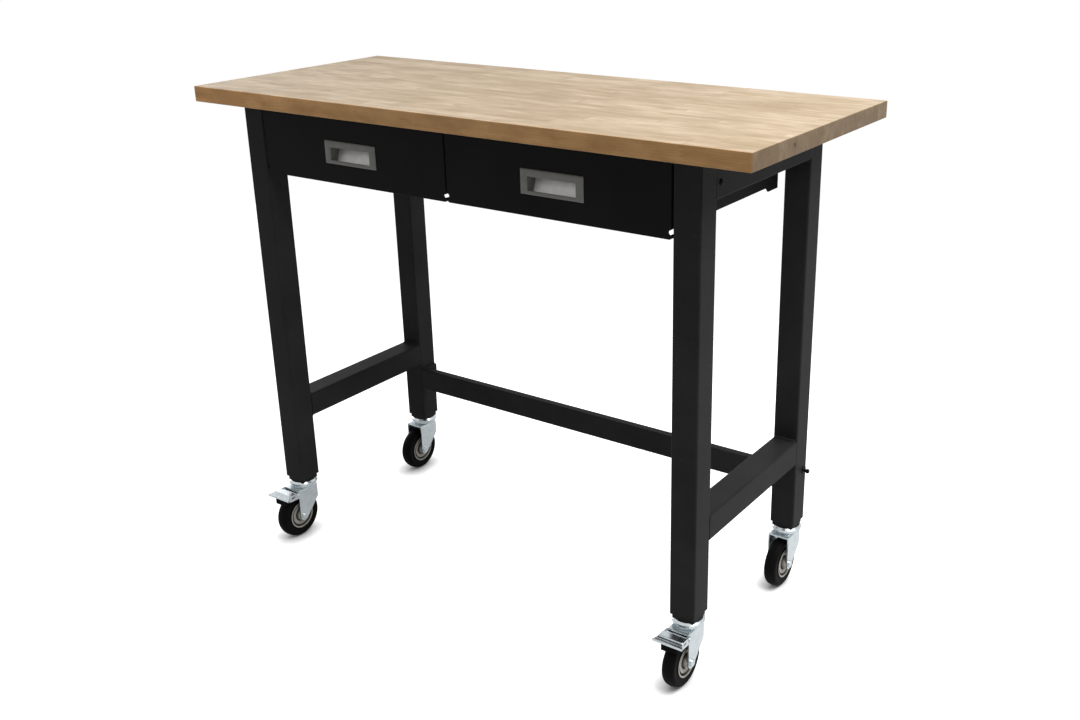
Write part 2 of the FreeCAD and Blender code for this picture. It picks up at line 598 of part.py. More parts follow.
def caster_mount():
    """Upper cup of the swivel bearing with its stem above and its kingpin below."""
    under = CUP_Z[1] - CUP_SHEET
    slope = CUP_R - CUP_SHEET
    head_z = FORK_TOP_Z[0] - RACE_GAP
    return turned([
        (0, head_z - KINGPIN_HEAD),
        (KINGPIN_HEAD_R - 1, head_z - KINGPIN_HEAD),
        (KINGPIN_HEAD_R, head_z - KINGPIN_HEAD + 1),
        (KINGPIN_HEAD_R, head_z),
        (STEM_R, head_z),
        (STEM_R, under),
        (slope - CUP_SHEET, under),
        (slope, under - CUP_SHEET),
        (slope, CUP_Z[0]),
        (CUP_R, CUP_Z[0]),
        (CUP_R, under - CUP_SHEET / 2),
        (slope - 1, CUP_Z[1]),
        (STEM_R, CUP_Z[1]),
        (STEM_R, LEG_FOOT_Z + STEM_INSIDE),
        (0, LEG_FOOT_Z + STEM_INSIDE),
    ], "z")


def fork_outline():
    """Side plate in Y and Z: upright front edge, sloping rear edge tangent to the tip."""
    hip = (FORK_BACK, FORK_HIP_Z)
    away_y = hip[0] + TRAIL
    away_z = hip[1] - WHEEL_R
    distance = math.hypot(away_y, away_z)
    angle = math.atan2(away_z, away_y) - math.acos(FORK_TIP_R / distance)
    tangent = (-TRAIL + FORK_TIP_R * math.cos(angle), WHEEL_R + FORK_TIP_R * math.sin(angle))
    return [
        (FORK_FRONT_Y, WHEEL_R),
        (FORK_FRONT_Y, FORK_TOP_Z[1]),
        (FORK_BACK, FORK_TOP_Z[1]),
        hip,
        tangent,
        (-TRAIL, WHEEL_R),
    ]


def ear_outline():
    """Ear on the front edge of a braked fork's side, around the brake pin, in Y and Z."""
    root_y = FORK_FRONT_Y + 1.5
    nose_y = BRAKE_PIN_Y - BRAKE_EAR
    return [
        (root_y, BRAKE_PIN_Z - BRAKE_EAR_ROOT),
        (nose_y + 1.5, BRAKE_PIN_Z - BRAKE_EAR_ROOT + 2.5),
        (nose_y, BRAKE_PIN_Z),
        (nose_y + 2.0, FORK_TOP_Z[0]),
        (root_y, FORK_TOP_Z[0]),
    ]


def fork(braked):
    """Folded fork with its lower race: U section, tapered sides, round tips, axle holes."""
    half = FORK_WIDTH / 2
    body = profile_yz(fork_outline(), (-half, half))
    body = body.fuse(rod("x", FORK_TIP_R, -half, half, -TRAIL, WHEEL_R)).removeSplitter()
    folds = [edge for edge in edges_along(body, "y") if edge.BoundBox.ZMin > FORK_TOP_Z[1] - 0.1]
    body = body.makeFillet(FORK_BEND, folds)
    if braked:
        body = body.fuse(profile_yz(ear_outline(), (-half, half))).removeSplitter()
    throat_y = (-PEDAL_TIP, FORK_BACK + 1)
    body = body.cut(block((-FORK_INSIDE, FORK_INSIDE), throat_y, (0, FORK_TOP_Z[0])))
    body = body.fuse(race())
    body = body.cut(rod("z", STEM_R + RUNNING_CLEARANCE, FORK_TOP_Z[0] - 1, RACE_Z[1] + 1, 0, 0))
    body = body.cut(rod("x", AXLE_R + RUNNING_CLEARANCE, -half - 1, half + 1, -TRAIL, WHEEL_R))
    if braked:
        pin = rod("x", BRAKE_PIN_R + RUNNING_CLEARANCE, -half - 1, half + 1, BRAKE_PIN_Y, BRAKE_PIN_Z)
        body = body.cut(pin)
    return body


def race():
    """Lower cup of the swivel bearing with its ring of balls drawn as one ring."""
    floor = RACE_Z[0] + RACE_WALL
    ball_top = CUP_Z[1] - CUP_SHEET - RACE_GAP
    inner = BALL_RING_R - BALL_RING_WIDTH
    return turned([
        (0, RACE_Z[0]),
        (RACE_R - RACE_WALL, RACE_Z[0]),
        (RACE_R, RACE_Z[0] + RACE_WALL),
        (RACE_R, RACE_Z[1]),
        (RACE_R - RACE_WALL, RACE_Z[1]),
        (BALL_RING_R, floor),
        (BALL_RING_R, ball_top),
        (inner, ball_top),
        (inner, floor),
        (0, floor),
    ], "z")


def axle():
    """Riveted axle across the fork."""
    half = FORK_WIDTH / 2
    pin = rod("x", AXLE_R, -half - AXLE_HEAD, half + AXLE_HEAD, -TRAIL, WHEEL_R)
    for side in (-1, 1):
        x = sorted((side * half, side * (half + AXLE_HEAD)))
        head = rod("x", AXLE_HEAD_R, x[0], x[1], -TRAIL, WHEEL_R)
        rim = [edge for edge in head.Edges if abs(edge.BoundBox.XMin) > half + AXLE_HEAD / 2
               and abs(edge.BoundBox.XMax) > half + AXLE_HEAD / 2]
        pin = pin.fuse(head.makeFillet(AXLE_HEAD * 0.6, rim))
    return pin.removeSplitter()


def tyre():
    """Solid tyre with a crowned tread."""
    half = TYRE_WIDTH / 2
    shoulder = WHEEL_R - TYRE_CROWN
    seat_a = Vector(-half, TYRE_SEAT_R, 0)
    seat_b = Vector(half, TYRE_SEAT_R, 0)
    wall_a = Vector(-half, shoulder, 0)
    wall_b = Vector(half, shoulder, 0)
    tread = Part.Arc(wall_a, Vector(0, WHEEL_R, 0), wall_b).toShape()
    wire = Part.Wire([
        Part.makeLine(seat_a, wall_a),
        tread,
        Part.makeLine(wall_b, seat_b),
        Part.makeLine(seat_b, seat_a),
    ])
    ring = Part.Face(wire).revolve(Vector(0, 0, 0), AXES["x"], 360)
    ring.translate(Vector(0, -TRAIL, WHEEL_R))
    return ring


def hub():
    """Moulded hub: bored boss, a web with one broad raised ring, and the rim in the tyre."""
    boss = FORK_INSIDE - HUB_SIDE_GAP
    rim = TYRE_WIDTH / 2 + HUB_PROUD
    bore = AXLE_R + RUNNING_CLEARANCE
    half = [
        (bore, boss),
        (HUB_BOSS_R - 1, boss),
        (HUB_BOSS_R, boss - 1),
        (HUB_BOSS_R, HUB_WEB / 2),
        (HUB_RING_IN_R, HUB_WEB / 2),
        (HUB_RING_IN_R + 0.5, HUB_RING / 2 - 1),
        (HUB_RING_OUT_R - 0.5, HUB_RING / 2),
        (HUB_RING_OUT_R, HUB_WEB / 2),
        (HUB_RIM_R, HUB_WEB / 2),
        (HUB_RIM_R + 0.5, rim),
        (TYRE_SEAT_R, rim),
    ]
    other = [(radius, -place) for radius, place in reversed(half)]
    solid = turned(half + other, "x")
    solid.translate(Vector(0, -TRAIL, WHEEL_R))
    return solid


# ---------------------------------------------------------------- foot brakes
def pedal_under():
    """Underside of the tread plate from rear to front, as (y, z): flat, then sloping to the lip."""
    flat = BRAKE_PIN_Z + PEDAL_TOP_UP - PEDAL_SHEET
    lip_y = -PEDAL_TIP + PEDAL_LIP_R
    return [(-PEDAL_REAR, flat), (-PEDAL_FOLD, flat), (lip_y, flat + PEDAL_SHEET - PEDAL_LIP_DOWN - 1.0)]


def brake_pedal():
    """Stamped pedal: ribbed tread plate with a rolled lip, two slotted side arms and its pin."""
    arm_in = FORK_WIDTH / 2 + BRAKE_ARM_GAP
    arm_out = arm_in + BRAKE_ARM
    pedal = tread_plate(BRAKE_PIN_Z + PEDAL_TOP_UP)
    for side in (-1, 1):
        x = sorted((side * arm_in, side * arm_out))
        pedal = pedal.fuse(brake_arm(x))
        head_x = sorted((side * arm_out, side * (arm_out + BRAKE_PIN_HEAD)))
        pedal = pedal.fuse(rod("x", BRAKE_PIN_HEAD_R, head_x[0], head_x[1], BRAKE_PIN_Y, BRAKE_PIN_Z))
    pedal = pedal.fuse(rod("x", BRAKE_PIN_R, -arm_in, arm_in, BRAKE_PIN_Y, BRAKE_PIN_Z))
    return pedal.removeSplitter()


def tread_plate(top):
    """Plate that slopes down and flares out to a rolled lip, with round ribs across it."""
    wide = PEDAL_TIP_WIDTH / 2
    half = PEDAL_WIDTH / 2
    lip_y = -PEDAL_TIP + PEDAL_LIP_R
    lip_z = top - PEDAL_LIP_DOWN
    upper = [(lip_y, lip_z + 1.5), (-PEDAL_FOLD, top), (-PEDAL_REAR, top)]
    plate = profile_yz(pedal_under() + upper, (-wide, wide))
    plate = plate.fuse(rod("x", PEDAL_LIP_R, -wide, wide, lip_y, lip_z))
    plan = profile_xy([
        (-wide, -PEDAL_TIP - 1),
        (wide, -PEDAL_TIP - 1),
        (wide, lip_y - 0.5),
        (half, -PEDAL_FOLD - 4.0),
        (half, -PEDAL_REAR + 1),
        (-half, -PEDAL_REAR + 1),
        (-half, -PEDAL_FOLD - 4.0),
        (-wide, lip_y - 0.5),
    ], (lip_z - 10, top + 10))
    plate = plate.common(plan)
    for ahead, down, radius, length in PEDAL_RIBS:
        rib = rod("x", radius, -length / 2, length / 2, -ahead, top - down - radius / 2)
        plate = plate.fuse(rib)
    return plate


def brake_arm(x):
    """Side arm that hangs from the tread plate's edge and sweeps back to the pin."""
    under = pedal_under()
    arm = profile_yz([
        (-PEDAL_REAR, under[0][1] + 1.0),
        (-PEDAL_FOLD, under[1][1] + 1.0),
        (-PEDAL_FOLD - 6.0, under[1][1] - 2.0),
        (-PEDAL_FOLD - 4.0, BRAKE_PIN_Z - BRAKE_ARM_DROP + 1.0),
        (-PEDAL_FOLD + 8.0, BRAKE_PIN_Z - BRAKE_ARM_DROP),
        (BRAKE_PIN_Y, BRAKE_PIN_Z - BRAKE_EYE_R),
        (BRAKE_PIN_Y, BRAKE_PIN_Z + BRAKE_EYE_R),
    ], x)
    arm = arm.fuse(rod("x", BRAKE_EYE_R, x[0], x[1], BRAKE_PIN_Y, BRAKE_PIN_Z))
    (front, front_up), (rear, rear_up), radius = BRAKE_SLOT
    ends = [(-front, BRAKE_PIN_Z + front_up), (-rear, BRAKE_PIN_Z + rear_up)]
    for y, z in ends:
        arm = arm.cut(rod("x", radius, x[0] - 1, x[1] + 1, y, z))
    (y0, z0), (y1, z1) = ends
    band = [(y0, z0 - radius), (y1, z1 - radius), (y1, z1 + radius), (y0, z0 + radius)]
    return arm.cut(profile_yz(band, (x[0] - 1, x[1] + 1)))


def brake_shoe():
    """Rubber shoe under the tread plate, hollowed to the tyre that it presses on."""
    rear, fold, lip = pedal_under()
    half = SHOE_WIDTH / 2
    back = -PEDAL_REAR - SHOE_BACK
    front = -PEDAL_TIP + SHOE_FRONT
    slope = (lip[1] - fold[1]) / (lip[0] - fold[0])
    front_z = fold[1] + slope * (front - fold[0])
    shoe = profile_yz([
        (back, rear[1]),
        fold,
        (front, front_z),
        (front, rear[1] - SHOE_HEIGHT),
        (back, rear[1] - SHOE_HEIGHT),
    ], (-half, half))
    return shoe.cut(rod("x", WHEEL_R + SHOE_GAP, -half - 1, half + 1, -TRAIL, WHEEL_R))


# ---------------------------------------------------------------- build
def build_frame():
    """Worktop, tube frame, carriers and their fasteners."""
    save("worktop", worktop())
    for row in LEG_Y:
        save_pair("leg_" + row, leg(row))
    save_pair("apron", apron())
    save_pair("side_stretcher", side_stretcher())
    save("rear_stretcher", rear_stretcher())
    save("stretcher_bolts", stretcher_bolt(), mirrored(stretcher_bolt()))
    save_pair("slide_carrier", carrier())
    save("centre_hanger", hanger())
    screws = [apron_screw(y) for y in APRON_SCREW_Y]
    save("apron_screws", *screws, *[mirrored(screw) for screw in screws])
    save("worktop_screws", *worktop_screws())


def build_drawers():
    """Both drawers and their slides."""
    save_pair("drawer_front", drawer_front())
    save_pair("drawer_box", drawer_box())
    save_pair("drawer_pull", pull())
    for place, face, side in (("inner", HANGER_FACE_X, 1), ("outer", CARRIER_FACE_X, -1)):
        for member, shape in slide_members(face, side).items():
            save_pair("slide_" + place + "_" + member, shape)


def build_casters():
    """Four swivel casters at the legs' ends, the front pair with brakes."""
    plugs = []
    for row, y in LEG_Y.items():
        for hand, side in (("left", -1), ("right", 1)):
            place = Vector(side * LEG_CENTRE_X, sum(y) / 2, 0)
            name = "caster_" + row + "_" + hand
            braked = row == "front"
            pieces = {
                "mount": caster_mount(),
                "fork": fork(braked),
                "axle": axle(),
                "tyre": tyre(),
                "hub": hub(),
            }
            if braked:
                pieces["pedal"] = brake_pedal()
                pieces["shoe"] = brake_shoe()
            for piece, shape in pieces.items():
                save(name + "_" + piece, shape.translated(place))
            plugs.append(leg_plug().translated(place))
    save("leg_plugs", *plugs)


os.makedirs("parts", exist_ok=True)
build_frame()
build_drawers()
build_casters()
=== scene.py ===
# %% [markdown]
# # A wheeled workbench with two drawers
# The bench is already built as separate rigid parts: the top, the legs, the rails, the
# drawers, the slides and the casters. This lesson dresses them. It sets up the camera and a
# plain studio, makes one finish for each real material, and adds the small pieces that are
# easier to shape as meshes than as solids. All lengths are in metres. X runs to the right of
# someone facing the drawers, Y runs away from them, and Z points up from the floor.

# %% Load the bench
import json
import math
import bmesh
import bpy
from mathutils import Euler, Matrix, Vector


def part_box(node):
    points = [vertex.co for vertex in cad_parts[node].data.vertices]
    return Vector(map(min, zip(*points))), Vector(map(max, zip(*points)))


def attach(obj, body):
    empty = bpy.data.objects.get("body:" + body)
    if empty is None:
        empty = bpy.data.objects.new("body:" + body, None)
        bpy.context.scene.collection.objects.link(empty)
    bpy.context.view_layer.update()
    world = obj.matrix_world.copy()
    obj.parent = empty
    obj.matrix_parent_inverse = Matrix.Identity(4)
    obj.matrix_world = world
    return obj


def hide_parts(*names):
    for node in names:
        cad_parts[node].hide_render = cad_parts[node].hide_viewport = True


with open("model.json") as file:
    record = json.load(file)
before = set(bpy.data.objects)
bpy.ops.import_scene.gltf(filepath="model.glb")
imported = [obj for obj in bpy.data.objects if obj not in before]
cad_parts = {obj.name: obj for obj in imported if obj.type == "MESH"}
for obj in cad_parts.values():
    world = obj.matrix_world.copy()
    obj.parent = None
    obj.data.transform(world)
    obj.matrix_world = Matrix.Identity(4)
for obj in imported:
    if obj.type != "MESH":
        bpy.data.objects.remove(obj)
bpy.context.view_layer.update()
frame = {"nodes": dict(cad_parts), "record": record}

parts = frame["nodes"]

# %% [markdown]
# ## Places to measure from
# The added pieces take their places from the boxes round the loaded parts, so they stay on
# the bench if its dimensions change. Only the sizes of the small pieces themselves are
# written out, in millimetres.

# %% Places on the bench
MM = 0.001


def corner_box(name):
    """Lowest and highest corner of the box round a part."""
    low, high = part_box(name)
    return Vector(low), Vector(high)


top_low, top_high = corner_box("worktop")
TOP_SIZE = top_high - top_low
print("worktop size in mm:", [round(v / MM) for v in TOP_SIZE])

# %% [markdown]
# ## The camera
# A camera is a place, a direction and a lens. The direction is kept as three angles: how far
# the camera is tipped up from looking straight down, how far it leans, and how far it is
# turned to the left of looking along Y. It could also be pointed at a target by a constraint,
# but then the lean would be lost. The small shift slides the image frame without turning the
# camera, so that the legs keep converging downwards as they do from eye height.

# %% Place the camera
LENS = 40.013
SENSOR_WIDTH = 36.0
SHIFT = (-0.0560, -0.0234)
EYE = Vector((1.37823, -1.75878, 1.32687))
TIP, LEAN, HEADING = 69.4895, 0.6873, 34.0880

scene = bpy.context.scene
camera_data = bpy.data.cameras.new("bench_camera")
camera_data.lens = LENS
camera_data.sensor_width = SENSOR_WIDTH
camera_data.shift_x, camera_data.shift_y = SHIFT
camera = bpy.data.objects.new("bench_camera", camera_data)
scene.collection.objects.link(camera)
turn = Euler([math.radians(angle) for angle in (TIP, LEAN, HEADING)])
camera.matrix_world = Matrix.Translation(EYE) @ turn.to_matrix().to_4x4()
scene.camera = camera
scene.view_settings.view_transform = "Standard"
print("camera stands", round(EYE.length, 3), "m from the middle of the footprint")

# %% [markdown]
# ## Helpers for node materials
# A procedural material is a chain of small nodes that ends in the surface shader. Written out
# one by one, the nodes would hide what the finish is. So a chain starts here with its shader
# in place, and has one way to add a node and one to plug a value or another node into it.

# %% A chain of nodes


def colour(red, green, blue):
    return (red, green, blue, 1.0)


def grey(level):
    return colour(level, level, level)


class NodeChain:
    """A material under construction, with its nodes and its surface shader."""

    SOCKETS = {"colour": "Base Color", "rough": "Roughness", "metal": "Metallic",
               "normal": "Normal", "specular": "Specular IOR Level"}

    def __init__(self, name):
        self.material = bpy.data.materials.new(name)
        self.material.use_nodes = True
        self.tree = self.material.node_tree
        self.surface = self.tree.nodes["Principled BSDF"]
        self.coords = self.add("ShaderNodeTexCoord").outputs["Object"]

    def plug(self, value, socket):
        """Link a node's output, or write down a plain value."""
        if isinstance(value, bpy.types.NodeSocket):
            self.tree.links.new(value, socket)
        else:
            socket.default_value = value

    def add(self, kind, inputs=(), **settings):
        node = self.tree.nodes.new(kind)
        for key, value in settings.items():
            setattr(node, key, value)
        for key, value in dict(inputs).items():
            self.plug(value, node.inputs[key])
        return node

    def set(self, **values):
        """Write the finished values into the shader and hand over the material."""
        for key, value in values.items():
            self.plug(value, self.surface.inputs[self.SOCKETS[key]])
        return self.material


print("a finish can set:", ", ".join(NodeChain.SOCKETS))

# %% [markdown]
# ### The steps of a finish
# Each step that comes back in several finishes gets a short name. A span maps one range of
# numbers to another, a blend mixes two colours, and noise is the source of all unevenness.
# Bump tilts the surface for the light alone, which is enough for grain that is finer than a
# tenth of a millimetre.

# %% Steps of a finish


class Finish(NodeChain):

    def math(self, operation, a, b=0.0):
        return self.add("ShaderNodeMath", {0: a, 1: b}, operation=operation).outputs[0]

    def span(self, value, low, high, to_low=0.0, to_high=1.0, smooth=False):
        keys = {"Value": value, "From Min": low, "From Max": high,
                "To Min": to_low, "To Max": to_high}
        kind = "SMOOTHSTEP" if smooth else "LINEAR"
        return self.add("ShaderNodeMapRange", keys, interpolation_type=kind).outputs[0]

    def stretch(self, scale):
        keys = {"Vector": self.coords, "Scale": scale}
        return self.add("ShaderNodeMapping", keys).outputs[0]

    def join(self, x, y, z):
        return self.add("ShaderNodeCombineXYZ", {"X": x, "Y": y, "Z": z}).outputs[0]

    def noise(self, scale, detail=2.0, coords=None, rough=0.5):
        keys = {"Vector": coords or self.coords, "Scale": scale, "Detail": detail,
                "Roughness": rough}
        return self.add("ShaderNodeTexNoise", keys).outputs["Fac"]

    def blend(self, factor, first, second, mode="MIX"):
        node = self.add("ShaderNodeMix", data_type="RGBA", blend_type=mode)
        self.plug(factor, node.inputs[0])
        self.plug(first, node.inputs[6])
        self.plug(second, node.inputs[7])
        return node.outputs[2]

    def bump(self, height, distance, strength, normal):
        keys = {"Height": height, "Distance": distance, "Strength": strength,
                "Normal": normal}
        return self.add("ShaderNodeBump", keys).outputs[0]

    def soft_edges(self, radius):
        """Normal that rounds the sharp edges of sheet and moulded parts, as seen by light."""
        return self.add("ShaderNodeBevel", {"Radius": radius}, samples=6).outputs[0]

    def nearness(self, distance):
        """1 on an open surface, less in a groove or beside another part."""
        return self.add("ShaderNodeAmbientOcclusion", {"Distance": distance},
                        samples=8).outputs["AO"]


print("steps:", ", ".join(name for name in vars(Finish) if not name.startswith("_")))

# %% [markdown]
# ## The surroundings
# The bench stands in an even, soft light. The surroundings should look plain white to the
# camera, and in reflections too, because plated metal shows them. As a source of light, white
# on all sides would wash out every shade, so for all other rays they are much dimmer. A Light
# Path node tells these rays apart.

# %% Surroundings
DAYLIGHT = 0.25


def seen_directly(tree, path):
    """1 for camera, glossy and transmission rays, 0 for the rest."""
    total = path.outputs["Is Camera Ray"]
    for name in ("Is Glossy Ray", "Is Transmission Ray"):
        highest = tree.nodes.new("ShaderNodeMath")
        highest.operation = "MAXIMUM"
        tree.links.new(total, highest.inputs[0])
        tree.links.new(path.outputs[name], highest.inputs[1])
        total = highest.outputs[0]
    return total


world = bpy.data.worlds.new("studio")
world.use_nodes = True
scene.world = world
sky_tree = world.node_tree
sky = sky_tree.nodes["Background"]
sky.inputs["Color"].default_value = grey(1.0)
brightness = sky_tree.nodes.new("ShaderNodeMapRange")
brightness.inputs["To Min"].default_value = DAYLIGHT
brightness.inputs["To Max"].default_value = 1.0
direct = seen_directly(sky_tree, sky_tree.nodes.new("ShaderNodeLightPath"))
sky_tree.links.new(direct, brightness.inputs["Value"])
sky_tree.links.new(brightness.outputs[0], sky.inputs["Strength"])
print("light from the surroundings:", DAYLIGHT)

# %% [markdown]
# ## The paper floor
# The bench stands on a sheet of white paper. Only the paper round the bench throws light
# back, so the legs get lighter towards the floor. To the camera the whole floor glows white,
# less where a wheel closes it in, which leaves a soft shadow round each wheel. The paper near
# the bench is also lit by the lamps, so it glows less in reflections, and the plated forks
# don't turn plain white.

# %% Paper floor
FLOOR_WIDTH = 30.0
FLOOR_GLOW = 0.95
MIRRORED_GLOW = 0.25
PAPER_TONE = 0.90
FAR_TONE = 0.20
PAPER_REACH = (0.9, 2.2)
SHADOW_REACH = 0.038
SHADOW_DEPTH = 3.0

edge = FLOOR_WIDTH / 2
floor_mesh = bpy.data.meshes.new("studio_floor")
floor_mesh.from_pydata([(-edge, -edge, 0), (edge, -edge, 0), (edge, edge, 0), (-edge, edge, 0)],
                       [], [(0, 1, 2, 3)])
floor = bpy.data.objects.new("studio_floor", floor_mesh)
scene.collection.objects.link(floor)

paper = Finish("studio_paper")
from_bench = paper.add("ShaderNodeVectorMath", {0: paper.coords}, operation="LENGTH")
near_bench = paper.span(from_bench.outputs["Value"], *PAPER_REACH, 1.0, 0.0, smooth=True)
paper.set(colour=paper.blend(near_bench, grey(FAR_TONE), grey(PAPER_TONE)),
          rough=0.9, specular=0.0)
path = paper.add("ShaderNodeLightPath")
not_camera = paper.math("SUBTRACT", 1.0, path.outputs["Is Camera Ray"])
mirrored_paper = paper.math("MULTIPLY", near_bench, not_camera)
glow = paper.math("MULTIPLY", seen_directly(paper.tree, path),
                  paper.span(mirrored_paper, 0.0, 1.0, FLOOR_GLOW, MIRRORED_GLOW))
shadow = paper.math("POWER", paper.nearness(SHADOW_REACH), SHADOW_DEPTH)
paper.surface.inputs["Emission Color"].default_value = grey(1.0)
paper.plug(paper.math("MULTIPLY", glow, shadow), paper.surface.inputs["Emission Strength"])
floor_mesh.materials.append(paper.material)
print("floor:", FLOOR_WIDTH, "m wide, paper up to", PAPER_REACH[1], "m from the bench")

# %% [markdown]
# ## The lamps
# One wide lamp hangs high on the right. It makes the top the brightest face and the right
# sides of the legs lighter than their fronts, which shows that they are square. A weaker one
# stands low on the left, so that the left end and the back don't sink into black. A wide
# lamp gives soft light, where a point lamp would give hard shadows.

# %% Lamps


def lamp(name, place, aim, width, power):
    data = bpy.data.lights.new(name, "AREA")
    data.size = width
    data.energy = power
    unit = bpy.data.objects.new(name, data)
    scene.collection.objects.link(unit)
    direction = Vector(aim) - Vector(place)
    aimed = direction.to_track_quat("-Z", "Y").to_matrix().to_4x4()
    unit.matrix_world = Matrix.Translation(place) @ aimed


lamp("overhead_lamp", place=(1.7, 0.0, 3.0), aim=(0.1, 0.0, 0.9), width=2.2, power=97.0)
lamp("left_fill", place=(-3.2, 0.9, 0.5), aim=(-0.4, 0.0, 0.5), width=2.0, power=36.0)

# %% [markdown]
# ## The wooden top
# The real top is glued up from narrow staves, and each stave from short blocks joined end to
# end with sawn fingers. A picture of wood would repeat and would not match at the edges, so
# the wood is worked out in space: every point knows its stave, its block in the stave, and
# how far it lies from the heart of the tree that the block was sawn from. The rings then run
# over the edges by themselves, and the ends show end grain. Each stave starts its row of
# blocks at an offset of its own, or the joints would line up across the top.

# %% Wood: staves and blocks
STAVE_COUNT = 12
STAVE_WIDTH = TOP_SIZE.y / STAVE_COUNT
FIRST_STAVE = top_low.y - 0.1 * MM
BLOCK_LENGTH = 0.30
BLOCK_UNEVEN = 0.75
STAVE_OFFSETS = (40.0, 7.31)
FINGER_PITCH = 6.5 * MM
FINGER_LENGTH = 10 * MM

wood = Finish("oiled_oak_blocks")
along, across, height = wood.add("ShaderNodeSeparateXYZ", {0: wood.coords}).outputs
stave_place = wood.math("DIVIDE", wood.math("SUBTRACT", across, FIRST_STAVE), STAVE_WIDTH)
stave = wood.math("FLOOR", stave_place)
stave_chance = wood.add("ShaderNodeTexWhiteNoise", {"W": stave},
                        noise_dimensions="1D").outputs["Value"]
finger = wood.math("PINGPONG", height, FINGER_PITCH / 2)
finger = wood.math("MULTIPLY", finger, FINGER_LENGTH / (FINGER_PITCH / 2))
run = wood.math("DIVIDE", wood.math("ADD", along, finger), BLOCK_LENGTH)
run = wood.math("ADD", run, wood.math("MULTIPLY", stave_chance, STAVE_OFFSETS[0]))
run = wood.math("ADD", run, wood.math("MULTIPLY", stave, STAVE_OFFSETS[1]))
block_keys = {"W": run, "Scale": 1.0, "Randomness": BLOCK_UNEVEN}
block = wood.add("ShaderNodeTexVoronoi", block_keys, voronoi_dimensions="1D")
block_chance = wood.add("ShaderNodeSeparateColor", {0: block.outputs["Color"]}).outputs
block_edge = wood.add("ShaderNodeTexVoronoi", block_keys, voronoi_dimensions="1D",
                      feature="DISTANCE_TO_EDGE").outputs["Distance"]
print("staves:", STAVE_COUNT, "of", round(STAVE_WIDTH / MM, 1), "mm")

# %% [markdown]
# ### Growth rings
# The heart of the tree lies below or above each block at its own distance, to one side or the
# other. The distance to it, bent by a slow noise that runs along the board, gives the growth
# rings: a sine of that distance swings once for each ring. Rings drawn on the surface alone
# would not meet at the edges. The noise jumps from block to block, as the wood does.

# %% Wood: growth rings
RING_WIDTH = 4.2 * MM
BLOCK_JUMP = 9.0
DRIFT_STRETCH = (2.2, 11.0, 11.0)
HEART_SIDE = 50 * MM
HEART_DEPTH = (20 * MM, 90 * MM)
DRIFT_SIDE = 12 * MM
DRIFT_DEPTH = 10 * MM

block_shift = wood.math("MULTIPLY", block_chance[2], BLOCK_JUMP)
drift_along, drift_across, drift_up = DRIFT_STRETCH
drift = wood.noise(1.0, 2.0, wood.join(
    wood.math("ADD", wood.math("MULTIPLY", along, drift_along), block_shift),
    wood.math("MULTIPLY", across, drift_across),
    wood.math("ADD", wood.math("MULTIPLY", height, drift_up), block_shift)))
heart_side = wood.span(block_chance[1], 0.0, 1.0, -HEART_SIDE, HEART_SIDE)
stave_middle = wood.math("MULTIPLY", wood.math("ADD", stave, 0.5), STAVE_WIDTH)
stave_middle = wood.math("ADD", stave_middle, top_low.y)
side_way = wood.math("SUBTRACT", wood.math("SUBTRACT", across, stave_middle), heart_side)
side_way = wood.math("ADD", side_way, wood.span(drift, 0.0, 1.0, -DRIFT_SIDE, DRIFT_SIDE))
heart_depth = wood.span(block_chance[2], 0.0, 1.0, *HEART_DEPTH)
depth_way = wood.math("ADD", wood.math("SUBTRACT", height, top_low.z), heart_depth)
depth_way = wood.math("ADD", depth_way, wood.span(drift, 0.0, 1.0, DRIFT_DEPTH, -DRIFT_DEPTH))
ring_distance = wood.math("SQRT", wood.math("ADD", wood.math("MULTIPLY", side_way, side_way),
                                            wood.math("MULTIPLY", depth_way, depth_way)))
ring = wood.math("SINE", wood.math("MULTIPLY", ring_distance, math.tau / RING_WIDTH))
ring = wood.span(ring, -0.2, 1.0, smooth=True)
print("ring width in mm:", round(RING_WIDTH / MM, 1))

# %% [markdown]
# ### Fibres, pores, streaks and smudges
# Noise that is stretched along the board looks like wood fibre, and a finer one like the
# open pores of oak, which lie in the rings. A broader noise gives the dark and pale streaks
# inside a block, and the broadest one gives smudges that cross the staves, where the oil
# went in deeper.

# %% Wood: grain
FIBRE_STRETCH = (14.0, 420.0, 420.0)
PORE_STRETCH = (60.0, 1700.0, 1700.0)
STREAK_STRETCH = (15.0, 52.0, 52.0)
SMUDGE_STRETCH = (7.0, 21.0, 21.0)

fibre = wood.noise(1.0, 3.0, wood.stretch(FIBRE_STRETCH), 0.6)
pore = wood.noise(1.0, 1.0, wood.stretch(PORE_STRETCH))
pore = wood.span(pore, 0.62, 0.72, smooth=True)
pore = wood.math("MULTIPLY", pore, wood.span(ring, 0.0, 1.0, 0.25, 1.0))
streak_along, streak_across, streak_up = STREAK_STRETCH
streak = wood.noise(1.0, 3.0, wood.join(
    wood.math("ADD", wood.math("MULTIPLY", along, streak_along), block_shift),
    wood.math("MULTIPLY", across, streak_across),
    wood.math("MULTIPLY", height, streak_up)))
smudge = wood.noise(1.0, 2.0, wood.stretch(SMUDGE_STRETCH))
seam = wood.math("MINIMUM", wood.math("MULTIPLY", block_edge, BLOCK_LENGTH),
                 wood.math("MULTIPLY", wood.math("PINGPONG", stave_place, 0.5), STAVE_WIDTH))
seam = wood.span(seam, 0.2 * MM, 0.7 * MM, 1.0, 0.0)
print("nodes in the wood so far:", len(wood.tree.nodes))

# %% [markdown]
# ### Colour of the wood
# Each block has its own tone, from pale straw to a warmer tan. The rest is laid over it in
# thin stains, each with its own mask. A small dark knot sits in the right end.

